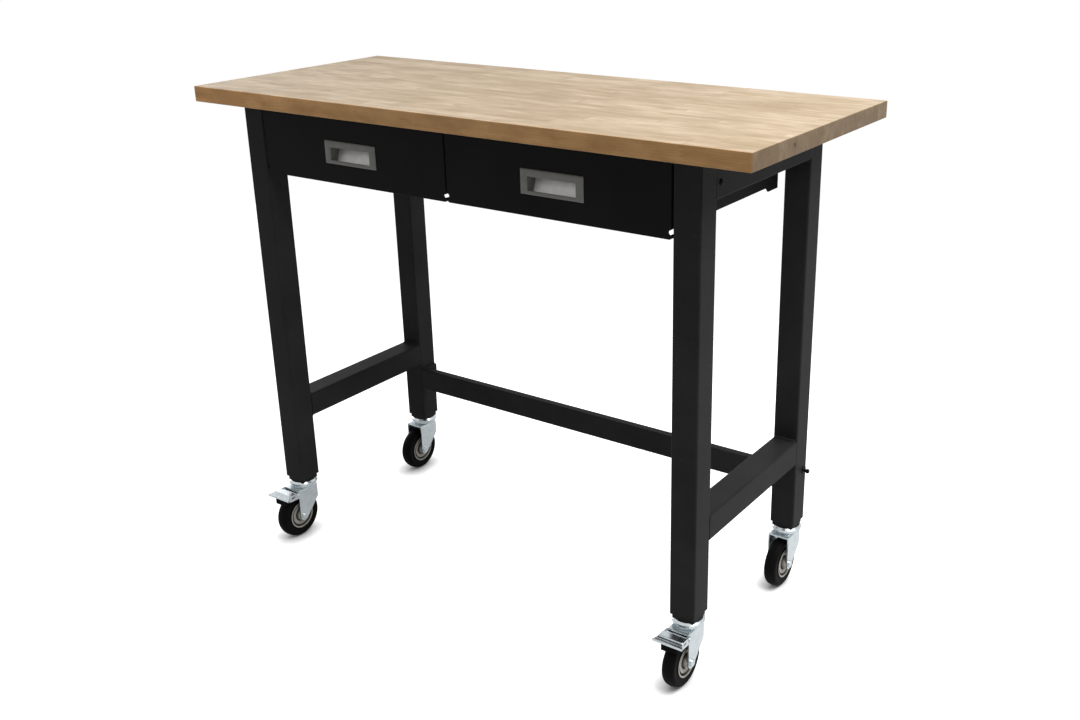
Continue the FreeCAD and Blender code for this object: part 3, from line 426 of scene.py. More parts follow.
# %% Wood: stains
PALE = colour(0.620, 0.492, 0.345)
TAN = colour(0.485, 0.365, 0.230)
KNOT = (top_high.x, top_low.y + 139.5 * MM, top_high.z - 13 * MM)
KNOT_SIZE = 4.2 * MM
KNOT_RAGGED = 1.2 * MM

to_knot = wood.add("ShaderNodeVectorMath", {0: wood.coords, 1: KNOT}, operation="DISTANCE")
knot_edge = wood.math("ADD", to_knot.outputs["Value"],
                      wood.span(wood.noise(220.0), 0.3, 0.7, -KNOT_RAGGED, KNOT_RAGGED))
stains = [
    (wood.span(streak, 0.48, 0.72, 0.0, 0.66), colour(0.34, 0.235, 0.130)),
    (wood.span(streak, 0.45, 0.28, 0.0, 0.52), colour(0.76, 0.62, 0.45)),
    (wood.span(smudge, 0.46, 0.68, 0.0, 0.62), colour(0.39, 0.285, 0.170)),
    (wood.math("MULTIPLY", ring, 0.12), colour(0.30, 0.185, 0.095)),
    (wood.span(fibre, 0.35, 0.75, 0.0, 0.16), colour(0.27, 0.17, 0.09)),
    (wood.math("MULTIPLY", pore, 0.40), colour(0.15, 0.085, 0.04)),
    (wood.span(knot_edge, KNOT_SIZE, 4 * KNOT_SIZE, 0.45, 0.0), colour(0.30, 0.17, 0.08)),
    (wood.span(knot_edge, 0.6 * KNOT_SIZE, 1.1 * KNOT_SIZE, 0.9, 0.0),
     colour(0.10, 0.045, 0.015)),
]
tone = wood.blend(wood.span(block_chance[0], 0.1, 0.9), PALE, TAN)
for mask, stain in stains:
    tone = wood.blend(mask, tone, stain)
print("stains:", len(stains))

# %% [markdown]
# ### Edges and surface of the wood
# The planed top keeps the plain tones of its blocks. The sawn long edges are tinted browner and
# more saturated, and also brighter as painted light, for the weaker light on the front faces.
# End grain is the dullest. Painted light makes the long edges paler towards the left end, away
# from the lamp. The direction that a face looks in tells the edges apart. The seams are thin
# and a little sunk.

# %% Wood: edges and surface
# The long-edge tint is partly the wood's colour and partly painted light; the left tint is
# painted light.
LONG_EDGE_OIL_AND_PAINTED_LIGHT = colour(1.52, 1.10, 0.67)
PAINTED_LEFT_LIGHT = colour(1.42, 1.38, 1.36)
PAINTED_LEFT_LIGHT_RUN = (-0.10, -0.55)
END_TINT = colour(0.37, 0.333, 0.278)
SEAM_TONE = colour(0.20, 0.12, 0.06)

face_way = wood.add("ShaderNodeTexCoord").outputs["Normal"]
facing = wood.add("ShaderNodeSeparateXYZ", {0: face_way}).outputs
long_edge = wood.span(wood.math("ABSOLUTE", facing[1]), 0.3, 0.9)
end_edge = wood.span(wood.math("ABSOLUTE", facing[0]), 0.3, 0.9)
painted_left_light_mask = wood.math("MULTIPLY", long_edge, wood.span(along, *PAINTED_LEFT_LIGHT_RUN))
# Painted light: the long edges are tinted browner and also brighter, for the weaker light on
# the front faces.
tone = wood.blend(long_edge, tone, LONG_EDGE_OIL_AND_PAINTED_LIGHT, "MULTIPLY")
# Painted light: the long edges grow paler towards the left end, away from the lamp.
tone = wood.blend(painted_left_light_mask, tone, PAINTED_LEFT_LIGHT, "MULTIPLY")
tone = wood.blend(end_edge, tone, END_TINT, "MULTIPLY")
tone = wood.blend(wood.math("MULTIPLY", seam, 0.35), tone, SEAM_TONE)
relief = wood.math("ADD", wood.math("MULTIPLY", fibre, 0.5), wood.math("MULTIPLY", pore, -0.6))
relief = wood.math("SUBTRACT", relief, wood.math("MULTIPLY", seam, 0.5))
worktop_wood = wood.set(colour=tone, specular=0.26,
                        rough=wood.span(fibre, 0.2, 0.8, 0.40, 0.56),
                        normal=wood.bump(relief, 0.12 * MM, 0.6, wood.soft_edges(1 * MM)))
print("nodes in the wood:", len(wood.tree.nodes))

# %% [markdown]
# ## Black powder coat
# Powder coat is a baked plastic film. It is nearly black, and its skin has a faint ripple
# called orange peel, about two millimetres from crest to crest, with a finer grain on top.
# Both go into the normal, and a slow cloud in the roughness keeps broad faces from looking
# like plain plastic. Knees, boxes and brooms rub the frame, so a few short faint marks are
# duller and a little greyer than the rest. The black screws get the same finish, smoother.

# %% Powder coat
PEEL_SCALE = 430.0
FINE_SCALE = 2600.0
CLOUD_SCALE = 9.0
RUB_STRETCH = (55.0, 55.0, 210.0)
BLUE_CAST = 0.04


def powder_coat(name, base, rough, peel):
    coat = Finish(name)
    ripple = coat.noise(PEEL_SCALE)
    grain = coat.noise(FINE_SCALE, 1.0)
    cloud = coat.noise(CLOUD_SCALE, 3.0)
    dark, pale = (colour(base * share, base * share, base * (share + BLUE_CAST))
                  for share in (0.8, 1.2))
    shade = coat.blend(coat.span(cloud, 0.3, 0.7), dark, pale)
    rub = coat.noise(1.0, 3.0, coat.stretch(RUB_STRETCH), 0.6)
    rub = coat.span(rub, 0.62, 0.74, smooth=True)
    shade = coat.blend(coat.math("MULTIPLY", rub, 0.35), shade, grey(base * 1.7))
    skin = coat.bump(ripple, peel, 0.5, coat.soft_edges(0.6 * MM))
    skin = coat.bump(grain, 0.01 * MM, 0.35, skin)
    dull = coat.span(cloud, 0.3, 0.7, rough - 0.04, rough + 0.05)
    return coat.set(colour=shade, specular=0.035, normal=skin,
                    rough=coat.math("ADD", dull, coat.math("MULTIPLY", rub, 0.12)))


frame_paint = powder_coat("frame_powder_coat", 0.0268, 0.48, 0.05 * MM)
# Painted shade: the drawer fronts get a darker copy of the frame's coat, for the shade under
# the top's overhang.
drawer_paint = powder_coat("drawer_powder_coat_painted_shade", 0.0108, 0.48, 0.04 * MM)
carrier_paint = powder_coat("carrier_powder_coat", 0.0150, 0.50, 0.05 * MM)
black_screws = powder_coat("blackened_screws", 0.009, 0.34, 0.01 * MM)
blacks = (frame_paint, drawer_paint, carrier_paint, black_screws)
print("black finishes:", [finish.name for finish in blacks])

# %% [markdown]
# ## Bare and plated metal
# Zinc plating is bright but not a mirror. It has a fine rolled grain, small cloudy patches,
# and a slightly warm or bluish cast. The slides get a straighter grain, because the strip
# they are rolled from keeps its drawing lines. The slope in each pull's cup gets a pale, partly
# metallic finish with a brushed grain, which is painted light: it stands in for the highlight
# and the light from the front that keep the slope evenly pale inside its cup.

# %% Zinc and steel
EVEN_GRAIN = (900.0, 900.0, 900.0)
DRAWN_GRAIN = (900.0, 25.0, 900.0)
BRUSHED_GRAIN = (40.0, 900.0, 900.0)


def plated(name, base, rough, grain_stretch, metal_share=1.0):
    metal = Finish(name)
    cloud = metal.noise(90.0)
    grain = metal.noise(1.0, 2.0, metal.stretch(grain_stretch))
    dark = colour(*(v * 0.90 for v in base))
    shade = metal.blend(metal.span(cloud, 0.35, 0.65), dark, colour(*base))
    skin = metal.bump(grain, 0.01 * MM, 0.25, metal.soft_edges(0.5 * MM))
    return metal.set(colour=shade, metal=metal_share, normal=skin,
                     rough=metal.span(grain, 0.3, 0.7, rough - 0.04, rough + 0.06))


caster_zinc = plated("bright_zinc_plate", (0.57, 0.62, 0.645), 0.23, EVEN_GRAIN)
slide_steel = plated("drawn_zinc_strip", (0.60, 0.61, 0.62), 0.22, DRAWN_GRAIN)
zinc_fasteners = plated("zinc_plated_bolts", (0.58, 0.58, 0.56), 0.26, EVEN_GRAIN)
# Painted light: the pull's slope gets a paler, partly metallic finish than the bezel, for the
# highlight and front light on it.
slope_painted_light = plated("slope_painted_light_finish", (0.80, 0.785, 0.76), 0.46, BRUSHED_GRAIN, 0.35)
metals = (caster_zinc, slide_steel, zinc_fasteners, slope_painted_light)
print("metal finishes:", [finish.name for finish in metals])

# %% [markdown]
# ## Plastics and rubber
# The pulls are moulded in a mid grey with a spark-eroded skin, which is a very fine even
# pitting. The hubs are a harder nylon in a warm grey, and painted shade darkens their grooves.
# The tyres and brake shoes are nearly black, with a dull skin.

# %% Plastics and rubber
GROOVE_SHADE_TONE = colour(0.012, 0.011, 0.010)
GROOVE_REACH = 7 * MM


def moulded(name, base, rough, pit_scale, pit_depth, specular=0.4, groove_shade=0.0):
    plastic = Finish(name)
    pits = plastic.noise(pit_scale)
    cloud = plastic.noise(40.0, 3.0)
    low, high = (colour(*(v * share for v in base)) for share in (0.92, 1.08))
    shade = plastic.blend(plastic.span(cloud, 0.3, 0.7), low, high)
    # Painted shade: grooves and recesses found by the occlusion node are darkened towards near
    # black.
    if groove_shade > 0.0:
        groove_shade_mask = plastic.span(plastic.nearness(GROOVE_REACH), 0.45, 0.95, groove_shade, 0.0)
        shade = plastic.blend(groove_shade_mask, shade, GROOVE_SHADE_TONE)
    skin = plastic.bump(pits, pit_depth, 0.5, plastic.soft_edges(0.4 * MM))
    return plastic.set(colour=shade, specular=specular, normal=skin,
                       rough=plastic.span(pits, 0.3, 0.7, rough - 0.05, rough + 0.06))


pull_plastic = moulded("grey_pull_plastic", (0.205, 0.202, 0.190), 0.48, 3000.0, 0.02 * MM)
plug_plastic = moulded("black_plug_plastic", (0.008, 0.008, 0.008), 0.52, 1800.0, 0.03 * MM,
                       specular=0.15)
hub_plastic = moulded("warm_grey_nylon", (0.44, 0.42, 0.375), 0.42, 1500.0, 0.02 * MM,
                      groove_shade=0.9)
tyre_rubber = moulded("black_tyre_rubber", (0.004, 0.004, 0.004), 0.55, 1400.0, 0.04 * MM,
                      specular=0.04)
shoe_rubber = moulded("brake_shoe_rubber", (0.003, 0.003, 0.003), 0.62, 1400.0, 0.05 * MM,
                      specular=0.03)
soft_ones = (pull_plastic, plug_plastic, hub_plastic, tyre_rubber, shoe_rubber)
print("plastic and rubber finishes:", [finish.name for finish in soft_ones])

# %% [markdown]
# ## Shaping small pieces
# Turned pieces such as tyres and screws come from an outline swept round a line, and moulded
# pieces from rings of points that are joined one to the next. Both end as one closed skin,
# which ready-made cylinders and boxes pushed into each other would not.

# %% Rings and skins
CORNER_STEPS = 5


def join_rings(shape, near, far):
    """Quads between two rings with the same number of points."""
    count = len(near)
    for step in range(count):
        after = (step + 1) % count
        shape.faces.new((near[step], near[after], far[after], far[step]))


def skin_over(shape, rings):
    for near, far in zip(rings, rings[1:]):
        join_rings(shape, near, far)


def close_ends(shape, rings):
    """Flat caps on the first and the last ring."""
    return [shape.faces.new(rings[0]), shape.faces.new(rings[-1])]


def rounded_rectangle(left, right, low, high, corner):
    """Points round a rectangle with round corners, from its upper right corner on."""
    points = []
    for across, up, start in ((1, 1, 0), (-1, 1, 90), (-1, -1, 180), (1, -1, 270)):
        heart_across = right - corner if across > 0 else left + corner
        heart_up = high - corner if up > 0 else low + corner
        for step in range(CORNER_STEPS + 1):
            angle = math.radians(start + 90 * step / CORNER_STEPS)
            points.append((heart_across + corner * math.cos(angle),
                           heart_up + corner * math.sin(angle)))
    return points


print("points round a rectangle:", len(rounded_rectangle(-1, 1, -1, 1, 0.2)))

# %% [markdown]
# ### Turning
# A lathe sweeps an outline round an axis. Here every axis lies along X, as those of the
# wheels and of the screws in the side rails do. Where an outline says hex, the ring follows
# a hexagon and not a circle, which makes nuts and sockets.

# %% Turning round an axis


def hexagon_reach(angle):
    """A hexagon's outline seen from its centre, as a share of half its width across flats."""
    sixth = math.pi / 3
    return 1.0 / math.cos(angle % sixth - sixth / 2)


def turn_round_x(shape, outline, centre, side=1, steps=48):
    """Sweep (radius, place, form) points round a line along X through a centre."""
    rings = []
    for radius, place, form in outline:
        ring = []
        for step in range(steps):
            angle = math.tau * step / steps
            reach = radius * hexagon_reach(angle) if form == "hex" else radius
            offset = Vector((side * place, reach * math.cos(angle), reach * math.sin(angle)))
            ring.append(shape.verts.new(Vector(centre) + offset))
        rings.append(ring)
    skin_over(shape, rings)
    return rings


print("a hexagon's corner lies at", round(hexagon_reach(0.0), 4), "of its half width")

# %% [markdown]
# ### From a skin to a piece
# A finished skin becomes a named object that rides on its body and says which finish it
# stands for. It is shaded smooth, apart from the creases where two faces meet at a steep
# angle.

# %% Making a piece
CREASE = 32.0


def make_piece(shape, name, finish_list, body, crease=CREASE):
    bmesh.ops.recalc_face_normals(shape, faces=shape.faces)
    mesh = bpy.data.meshes.new(name)
    shape.to_mesh(mesh)
    shape.free()
    mesh.shade_smooth()
    mesh.set_sharp_from_angle(angle=math.radians(crease))
    for material in finish_list:
        mesh.materials.append(material)
    piece = bpy.data.objects.new(name, mesh)
    scene.collection.objects.link(piece)
    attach(piece, body)
    return piece


print("creases from", CREASE, "degrees")

# %% [markdown]
# ## Recessed pulls
# A pull is one moulding: a bezel that stands a little proud of the drawer, and a cup behind
# it with a sloping back. The fingers hook up behind the top of the bezel. The slope gets a
# pale, partly metallic finish as painted light, so it looks paler than the bezel, as if lit
# from the front. A plain box with a hole would have knife edges, so the pull is drawn as a
# stack of rounded rectangles. They start at the back of the cup, come forward outside it,
# run over the bezel's chamfer and step, and go back inside to the slope.

# %% Pull sizes
PULL_WALL = 2 * MM
BEZEL_PROUD = 2.4 * MM
BEZEL_CHAMFER = 1.8 * MM
BEZEL_CORNER = 1.2 * MM
STEP_IN = 11.5 * MM
STEP_BELOW = 2.6 * MM
STEP_ABOVE = 6 * MM
STEP_DEEP = 0.5 * MM
STEP_CORNER = 2 * MM
MOUTH_HALF = 49 * MM
MOUTH_LOW = 7 * MM
MOUTH_HIGH = 31 * MM
MOUTH_CORNER = 1.6 * MM
CUP_SAG = 5.5 * MM
CUP_HOOK = 5 * MM
CUP_DEEP_LOW = 15 * MM
CUP_CORNER = 3 * MM
CUP_ROUND = 1.5 * MM
print("mouth of a pull in mm:", round(2 * MOUTH_HALF / MM), "by",
      round((MOUTH_HIGH - MOUTH_LOW) / MM))

# %% [markdown]
# ### The rings of a pull
# Each ring is a rectangle in the plane of the drawer's front: half its width, its lower and
# upper side counted from the bezel's lower edge, the radius of its corners, and its depth
# behind the bezel's face. On the slope the depth changes from the lower to the upper side.

# %% Pull rings


def grown(rectangle, more):
    """The same rectangle, wider and taller by more on all sides."""
    half, low, high = rectangle
    return half + more, low - more, high + more


def pull_layers(half, tall, deep_top):
    """Width, sides, corner, lower and upper depth of each ring."""
    roof = MOUTH_HIGH + CUP_HOOK
    floor_back = MOUTH_LOW - CUP_SAG
    fall = CUP_SAG / (CUP_DEEP_LOW - BEZEL_PROUD)
    lean = (deep_top - CUP_DEEP_LOW) / (roof - floor_back)
    bezel = (half, 0.0, tall)
    mouth = (MOUTH_HALF, MOUTH_LOW, MOUTH_HIGH)
    step = (half - STEP_IN, MOUTH_LOW - STEP_BELOW, MOUTH_HIGH + STEP_ABOVE)
    cup = (MOUTH_HALF, floor_back, roof)
    shell = grown(cup, PULL_WALL)

    def layer(rectangle, corner, depth, depth_high=None):
        return (*rectangle, corner, depth, depth if depth_high is None else depth_high)

    outside = [
        layer(grown(shell, -CUP_ROUND), 2 * MM, CUP_DEEP_LOW + PULL_WALL + lean * CUP_ROUND,
              deep_top + PULL_WALL),
        layer(shell, CUP_CORNER, CUP_DEEP_LOW + PULL_WALL / 2, deep_top),
        layer((shell[0], MOUTH_LOW - PULL_WALL, shell[2]), CUP_CORNER, BEZEL_PROUD),
        layer(bezel, BEZEL_CORNER, BEZEL_PROUD),
        layer(bezel, BEZEL_CORNER, BEZEL_CHAMFER),
        layer(grown(bezel, -0.8 * BEZEL_CHAMFER), BEZEL_CORNER, 0.15 * BEZEL_CHAMFER),
        layer(grown(bezel, -1.3 * BEZEL_CHAMFER), BEZEL_CORNER, 0.0),
        layer(step, STEP_CORNER, 0.0),
        layer(grown(step, -STEP_DEEP), STEP_CORNER, STEP_DEEP),
    ]
    inside = [
        layer(grown(mouth, 0.7 * MM), MOUTH_CORNER + 0.6 * MM, STEP_DEEP),
        layer(grown(mouth, 0.2 * MM), MOUTH_CORNER + 0.2 * MM, STEP_DEEP + 0.2 * MM),
        layer(mouth, MOUTH_CORNER, STEP_DEEP + 0.7 * MM),
        layer(mouth, MOUTH_CORNER, BEZEL_PROUD),
        layer((MOUTH_HALF, MOUTH_LOW - fall * 2 * MM, MOUTH_HIGH), MOUTH_CORNER,
              BEZEL_PROUD + 2 * MM),
        layer((MOUTH_HALF, MOUTH_LOW - fall * 3 * MM, roof), MOUTH_CORNER,
              BEZEL_PROUD + 3 * MM),
        layer((MOUTH_HALF - 0.3 * MM, floor_back + 0.2 * MM, roof - 0.2 * MM), MOUTH_CORNER,
              CUP_DEEP_LOW - 1.2 * MM, deep_top - 1.2 * MM),
        layer(grown(cup, -CUP_ROUND), MOUTH_CORNER, CUP_DEEP_LOW + lean * CUP_ROUND,
              deep_top - lean * CUP_ROUND),
    ]
    return outside + inside


def pull_ring(shape, corner_place, middle_x, half, low, high, corner, depth, depth_high):
    ring = []
    for across, up in rounded_rectangle(-half, half, low, high, corner):
        share = (up - low) / (high - low)
        y = corner_place.y + depth + (depth_high - depth) * share
        ring.append(shape.verts.new((middle_x + across, y, corner_place.z + up)))
    return ring


print("rings in a pull:", len(pull_layers(60 * MM, 46 * MM, 30 * MM)))

# %% [markdown]
# ### Building the pulls
# Each pull replaces the plain one on its drawer and takes its box, so it sits in the cut-out
# of the drawer front. The last cap is the slope, and it alone gets the pale finish of painted
# light.

# %% Build the pulls
for hand in ("left", "right"):
    pull_low, pull_high = corner_box("drawer_pull_" + hand)
    size = pull_high - pull_low
    middle_x = (pull_low.x + pull_high.x) / 2
    shape = bmesh.new()
    rings = [pull_ring(shape, pull_low, middle_x, *layer)
             for layer in pull_layers(size.x / 2, size.z, size.y - PULL_WALL)]
    skin_over(shape, rings)
    slope = close_ends(shape, rings)[1]
    # The slope alone gets the paler finish, which is painted light.
    slope.material_index = 1
    pull = make_piece(shape, "pull_" + hand, [pull_plastic, slope_painted_light], "drawer_" + hand)
    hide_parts("drawer_pull_" + hand)
    print(pull.name, "faces:", len(pull.data.polygons))

# %% [markdown]
# ## Tyres
# A solid rubber tyre comes out of a two-part mould. Its tread is crowned, its shoulders are
# round, a thin flash line runs round the middle where the mould halves met, and each side
# wall has a shallow dish with a raised bead beside the hub. A torus has none of these, so
# one outline is swept round the axle and gives them all.

# %% Tyre outline
TREAD_CROWN = 6.5 * MM
SHOULDER_DROP = 2.2 * MM
SHOULDER_START = 0.7
FLASH_HEIGHT = 0.2 * MM
DISH_DEEP = 0.9 * MM
TREAD_STEPS = 22


def tread_radius(share, radius):
    """Radius of the tread at a share from the middle, 0, to the side wall, 1."""
    shoulder = max(0.0, (share - SHOULDER_START) / (1 - SHOULDER_START))
    return radius - FLASH_HEIGHT - TREAD_CROWN * share ** 2 - SHOULDER_DROP * shoulder ** 2


def tyre_outline(radius, seat, half):
    """From the hub's seat out over one side wall and the tread, and back on the other side."""
    bead = [(seat, half), (seat + 0.8 * MM, half), (seat + 1.8 * MM, half - 0.2 * MM)]
    dish = [(seat + 2.6 * MM, half - DISH_DEEP), (seat + 6 * MM, half - DISH_DEEP),
            (seat + 9 * MM, half - 0.35 * MM)]
    tread = []
    for step in range(TREAD_STEPS):
        share = 1.0 - step / TREAD_STEPS
        tread.append((tread_radius(share, radius), half * math.sin(share * math.pi / 2)))
    flash = [(radius - FLASH_HEIGHT, 0.4 * MM), (radius, 0.15 * MM)]
    near_half = bead + dish + tread + flash
    far_half = [(reach, -place) for reach, place in reversed(near_half)]
    return [(reach, place, "round") for reach, place in near_half + far_half]


print("points in a tyre's outline:", len(tyre_outline(50 * MM, 25 * MM, 13 * MM)))

# %% [markdown]
# ### Building the tyres
# The radius comes from the plain tyre, a hair less, so that the tyre stands on the floor and
# not in it.

# %% Build the tyres
FLOOR_CLEAR = 0.02 * MM
TYRE_STEPS = 144
casters = sorted(name[:-len("_tyre")] for name in parts
                 if name.startswith("caster_") and name.endswith("_tyre"))
for caster in casters:
    tyre_low, tyre_high = corner_box(caster + "_tyre")
    hub_low, hub_high = corner_box(caster + "_hub")
    size = tyre_high - tyre_low
    radius = min(size.z, size.y) / 2 - FLOOR_CLEAR
    outline = tyre_outline(radius, (hub_high.z - hub_low.z) / 2, size.x / 2)
    shape = bmesh.new()
    rings = turn_round_x(shape, outline, (tyre_low + tyre_high) / 2, steps=TYRE_STEPS)
    join_rings(shape, rings[-1], rings[0])
    tyre = make_piece(shape, caster + "_moulded_tyre", [tyre_rubber], caster + "_wheel")
    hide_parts(caster + "_tyre")
print("tyres:", len(casters), "of", round(2 * radius / MM), "mm")

# %% [markdown]
# ## Socket screws
# The aprons are held by button-head screws with a hexagon socket, each with a nut behind the
# carrier. One sweep makes the whole screw: nut, shank, domed head and socket. Separate
# pieces for head, shank and nut would leave hidden faces inside each other.

# %% Screw outline
NUT_HALF = 5 * MM
NUT_THICK = 5 * MM
NUT_PLAY = 0.1 * MM
SHANK_R = 3 * MM
HEAD_R = 5 * MM
HEAD_TALL = 3 * MM
HEAD_RIM = 0.5 * MM
CROWN_WIDE = 2.4 * MM
CROWN_STEPS = 8
SOCKET_HALF = 1.6 * MM
SOCKET_DEEP = 1.7 * MM
CARRIER_SHEET = 2 * MM
leg_face = corner_box("leg_front_right")[1].x
carrier_face = corner_box("slide_carrier_right")[1].x - CARRIER_SHEET
nut_end = carrier_face - NUT_THICK
head_end = leg_face + HEAD_TALL
crown_tall = HEAD_TALL - HEAD_RIM
screw_outline = [
    (SHANK_R - 0.7 * MM, nut_end, "round"),
    (SHANK_R, nut_end + 0.3 * MM, "round"),
    (NUT_HALF - 0.6 * MM, nut_end, "round"),
    (NUT_HALF - NUT_PLAY, nut_end + 0.5 * MM, "hex"),
    (NUT_HALF - NUT_PLAY, carrier_face - 0.3 * MM, "hex"),
    (NUT_HALF - 0.4 * MM, carrier_face, "round"),
    (SHANK_R, carrier_face, "round"),
    (SHANK_R, leg_face, "round"),
    (HEAD_R, leg_face, "round"),
    (HEAD_R, leg_face + HEAD_RIM, "round"),
]
for step in range(1, CROWN_STEPS):
    angle = math.radians(90 * step / CROWN_STEPS)
    screw_outline.append((HEAD_R - CROWN_WIDE + CROWN_WIDE * math.cos(angle),
                          head_end - crown_tall + crown_tall * math.sin(angle), "round"))
screw_outline += [
    (SOCKET_HALF + 0.35 * MM, head_end, "round"),
    (SOCKET_HALF, head_end - 0.2 * MM, "hex"),
    (SOCKET_HALF, head_end - SOCKET_DEEP, "hex"),
]
print("points in a screw's outline:", len(screw_outline))

# %% [markdown]
# ### Building the screws
# The box round the plain screws ends at the corners of their nuts, so the middle of each
# screw lies one such corner further in. The left screws are the right ones turned round.

# %% Build the apron screws
nut_corner = 2 * NUT_HALF / math.sqrt(3)
screws_low, screws_high = corner_box("apron_screws")
screw_z = (screws_low.z + screws_high.z) / 2
shape = bmesh.new()
for side in (-1, 1):
    for screw_y in (screws_low.y + nut_corner, screws_high.y - nut_corner):
        rings = turn_round_x(shape, screw_outline, (0.0, screw_y, screw_z), side)
        close_ends(shape, rings)
screws = make_piece(shape, "apron_socket_screws", [black_screws], "frame")
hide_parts("apron_screws")
print("apron screws: 4 at height", round(screw_z / MM))

# %% [markdown]
# ## Weld beads
# The rails are welded to the legs. A hand-laid bead is a row of small overlapping coins, and
# the powder coat follows them. Each bead is a quarter round in the corner between rail and
# leg, whose radius swells and falls along its length, and which tapers at both ends. A
# smooth fillet would look cast and not welded.

# %% Weld bead
BEAD_RADIUS = 3.75 * MM
BEAD_SWELL = 0.45 * MM
BEAD_PITCH = 1.7 * MM
BEAD_LAG = 0.5 * MM
BEAD_ROOT = 1 * MM
BEAD_END_SHARE = 0.35
BEAD_TAPER = 2.5 * MM
RINGS_PER_COIN = 5
BEAD_STEPS = 8


def weld_bead(shape, start, end, corner_y, corner_z, way_y, way_z):
    """Rippled quarter round along X, in the corner that opens towards way_y and way_z."""
    count = round((end - start) / (BEAD_PITCH / RINGS_PER_COIN))
    rings = []
    for step in range(count + 1):
        x = start + (end - start) * step / count
        phase = ((x - start) / BEAD_PITCH) % 1.0
        taper = min(1.0, BEAD_END_SHARE + min(x - start, end - x) / BEAD_TAPER)
        reach = (BEAD_RADIUS + BEAD_SWELL * math.sqrt(1.0 - phase)) * taper
        root = (x, corner_y - way_y * BEAD_ROOT, corner_z - way_z * BEAD_ROOT)
        ring = [shape.verts.new(root)]
        for turn_step in range(BEAD_STEPS + 1):
            angle = math.radians(90 * turn_step / BEAD_STEPS)
            lag = BEAD_LAG * math.sin(2 * angle) * taper
            ring.append(shape.verts.new((x - lag, corner_y + way_y * reach * math.cos(angle),
                                         corner_z + way_z * reach * math.sin(angle))))
        rings.append(ring)
    skin_over(shape, rings)
    close_ends(shape, rings)


print("coins in a bead of 40 mm:", round(40 * MM / BEAD_PITCH))

# %% [markdown]
# ### Laying the beads
# A side stretcher is welded above and below at both ends, and an apron below. The beads keep
# clear of the rails' rounded corners.

# %% Build the weld beads
WELD_LEG = 4 * MM
RAIL_CORNER = 3.5 * MM
RAIL_WELDS = (("side_stretcher_", (-1, 1)), ("apron_", (-1,)))
bead_count = 0
shape = bmesh.new()
for hand in ("left", "right"):
    front_wall = corner_box("leg_front_" + hand)[1].y
    back_wall = corner_box("leg_back_" + hand)[0].y
    for rail, levels in RAIL_WELDS:
        rail_low, rail_high = corner_box(rail + hand)
        start = rail_low.x + RAIL_CORNER
        end = rail_high.x - RAIL_CORNER
        for level in levels:
            corner_z = rail_low.z + WELD_LEG if level < 0 else rail_high.z - WELD_LEG
            weld_bead(shape, start, end, front_wall, corner_z, 1, level)
            weld_bead(shape, start, end, back_wall, corner_z, -1, level)
            bead_count += 2
beads = make_piece(shape, "weld_beads", [frame_paint], "frame", crease=50.0)
print("weld beads:", bead_count, "faces:", len(beads.data.polygons))

# %% [markdown]
# ## Slide screws and bumpers
# An open drawer shows the insides of its slides. Three low-headed screws hold each drawer
# member to the side of the drawer, and a plastic bumper at the front of each middle member
# stops it without a bang. The screws move with the drawer and the bumpers with the middle
# member. Both are too small to be worth solids, so they are swept and stacked here.

# %% Slide screw and bumper
STRIP = 1.2 * MM
LOW_SHANK_R = 2 * MM
LOW_HEAD_R = 3.8 * MM
LOW_HEAD_TALL = 1.7 * MM
STAR_HALF = 1.3 * MM
BUMPER_LONG = 7 * MM
BUMPER_TALL = 25 * MM
BUMPER_THICK = 3.6 * MM
BUMPER_CORNER = 2 * MM
low_screw_outline = [
    (LOW_SHANK_R - 0.4 * MM, -0.5 * MM, "round"),
    (LOW_SHANK_R, -0.2 * MM, "round"),
    (LOW_SHANK_R, STRIP, "round"),
    (LOW_HEAD_R, STRIP, "round"),
    (LOW_HEAD_R, STRIP + 0.5 * MM, "round"),
    (LOW_HEAD_R - 0.5 * MM, STRIP + 1.1 * MM, "round"),
    (LOW_HEAD_R - 1.4 * MM, STRIP + LOW_HEAD_TALL - 0.15 * MM, "round"),
    (STAR_HALF + 0.4 * MM, STRIP + LOW_HEAD_TALL, "round"),
    (STAR_HALF, STRIP + LOW_HEAD_TALL - 0.1 * MM, "hex"),
    (STAR_HALF, STRIP + 0.5 * MM, "hex"),
]
bumper_layers = ((-0.3 * MM, 0.0), (BUMPER_THICK - 0.7 * MM, 0.0),
                 (BUMPER_THICK - 0.2 * MM, 0.2 * MM), (BUMPER_THICK, 0.7 * MM))


def bumper_rings(shape, web_x, way, middle_y, middle_z):
    """Rings from inside the strip up to the bumper's face, the upper ones drawn in."""
    rings = []
    for lift, inset in bumper_layers:
        half_long = BUMPER_LONG / 2 - inset
        half_tall = BUMPER_TALL / 2 - inset
        outline = rounded_rectangle(middle_y - half_long, middle_y + half_long,
                                    middle_z - half_tall, middle_z + half_tall,
                                    BUMPER_CORNER - inset)
        rings.append([shape.verts.new((web_x - way * lift, y, z)) for y, z in outline])
    skin_over(shape, rings)
    return rings


print("slide screw head in mm:", round(2 * LOW_HEAD_R / MM, 1), "wide")

# %% [markdown]
# ### Placing the screws and bumpers
# Each drawer has a slide on either side. The way from the drawer's middle to the slide tells
# on which face of the strip the heads lie: they point away from the drawer, and the bumpers
# towards it.

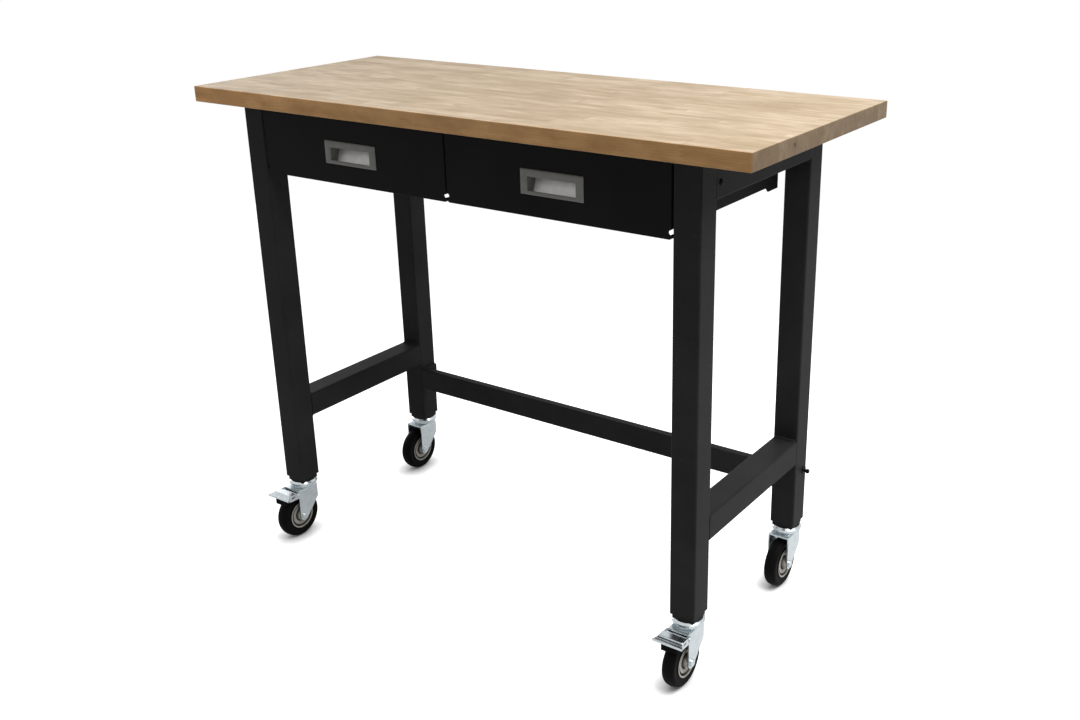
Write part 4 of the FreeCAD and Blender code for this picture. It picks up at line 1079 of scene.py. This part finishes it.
# %% Build the slide screws and bumpers
SCREW_PLACES = (0.11, 0.42, 0.90)
BUMPER_SETBACK = 1 * MM
LOW_SCREW_STEPS = 32
for hand in ("left", "right"):
    box_low, box_high = corner_box("drawer_box_" + hand)
    drawer_middle = (box_low.x + box_high.x) / 2
    screw_shape = bmesh.new()
    bumper_shape = bmesh.new()
    for place in ("inner", "outer"):
        low, high = corner_box("slide_" + place + "_drawer_" + hand)
        way = -1 if (low.x + high.x) / 2 < drawer_middle else 1
        back_x = high.x if way < 0 else low.x
        middle_z = (low.z + high.z) / 2
        for share in SCREW_PLACES:
            seat = (back_x, low.y + share * (high.y - low.y), middle_z)
            rings = turn_round_x(screw_shape, low_screw_outline, seat, way, LOW_SCREW_STEPS)
            close_ends(screw_shape, rings)
        low, high = corner_box("slide_" + place + "_middle_" + hand)
        web_x = low.x + STRIP if way < 0 else high.x - STRIP
        bumper_y = low.y + BUMPER_LONG / 2 + BUMPER_SETBACK
        close_ends(bumper_shape, bumper_rings(bumper_shape, web_x, way, bumper_y, middle_z))
    make_piece(screw_shape, "slide_screws_" + hand, [zinc_fasteners], "drawer_" + hand)
    make_piece(bumper_shape, "slide_bumpers_" + hand, [plug_plastic], "slide_middle_" + hand)
    print(hand, "drawer:", 2 * len(SCREW_PLACES), "slide screws and 2 bumpers")

# %% [markdown]
# ## Dress the parts
# The record says which finish each part takes, so one loop dresses them all. The brake shoes
# are soft rubber, so a small bevel also rounds their corners. It is a modifier, which leaves
# the part's own mesh as it is.

# %% Put the finishes on
SHOE_ROUND = 0.9 * MM
SHOE_ROUND_STEPS = 3
SHOE_SHARPEST = 40.0
finishes = {
    "worktop_wood": worktop_wood, "frame_paint": frame_paint, "drawer_paint": drawer_paint,
    "carrier_paint": carrier_paint, "black_screws": black_screws,
    "zinc_fasteners": zinc_fasteners, "pull_plastic": pull_plastic,
    "slide_steel": slide_steel, "plug_plastic": plug_plastic, "caster_zinc": caster_zinc,
    "tyre_rubber": tyre_rubber, "hub_plastic": hub_plastic, "shoe_rubber": shoe_rubber,
}
for row in frame["record"]["subparts"]:
    part = parts[row["node"]]
    part.data.materials.clear()
    part.data.materials.append(finishes[row["material_slot"]])
    if row["material_slot"] == "shoe_rubber":
        worn_corners = part.modifiers.new("worn_corners", "BEVEL")
        worn_corners.width = SHOE_ROUND
        worn_corners.segments = SHOE_ROUND_STEPS
        worn_corners.angle_limit = math.radians(SHOE_SHARPEST)

# %% [markdown]
# ## Finish
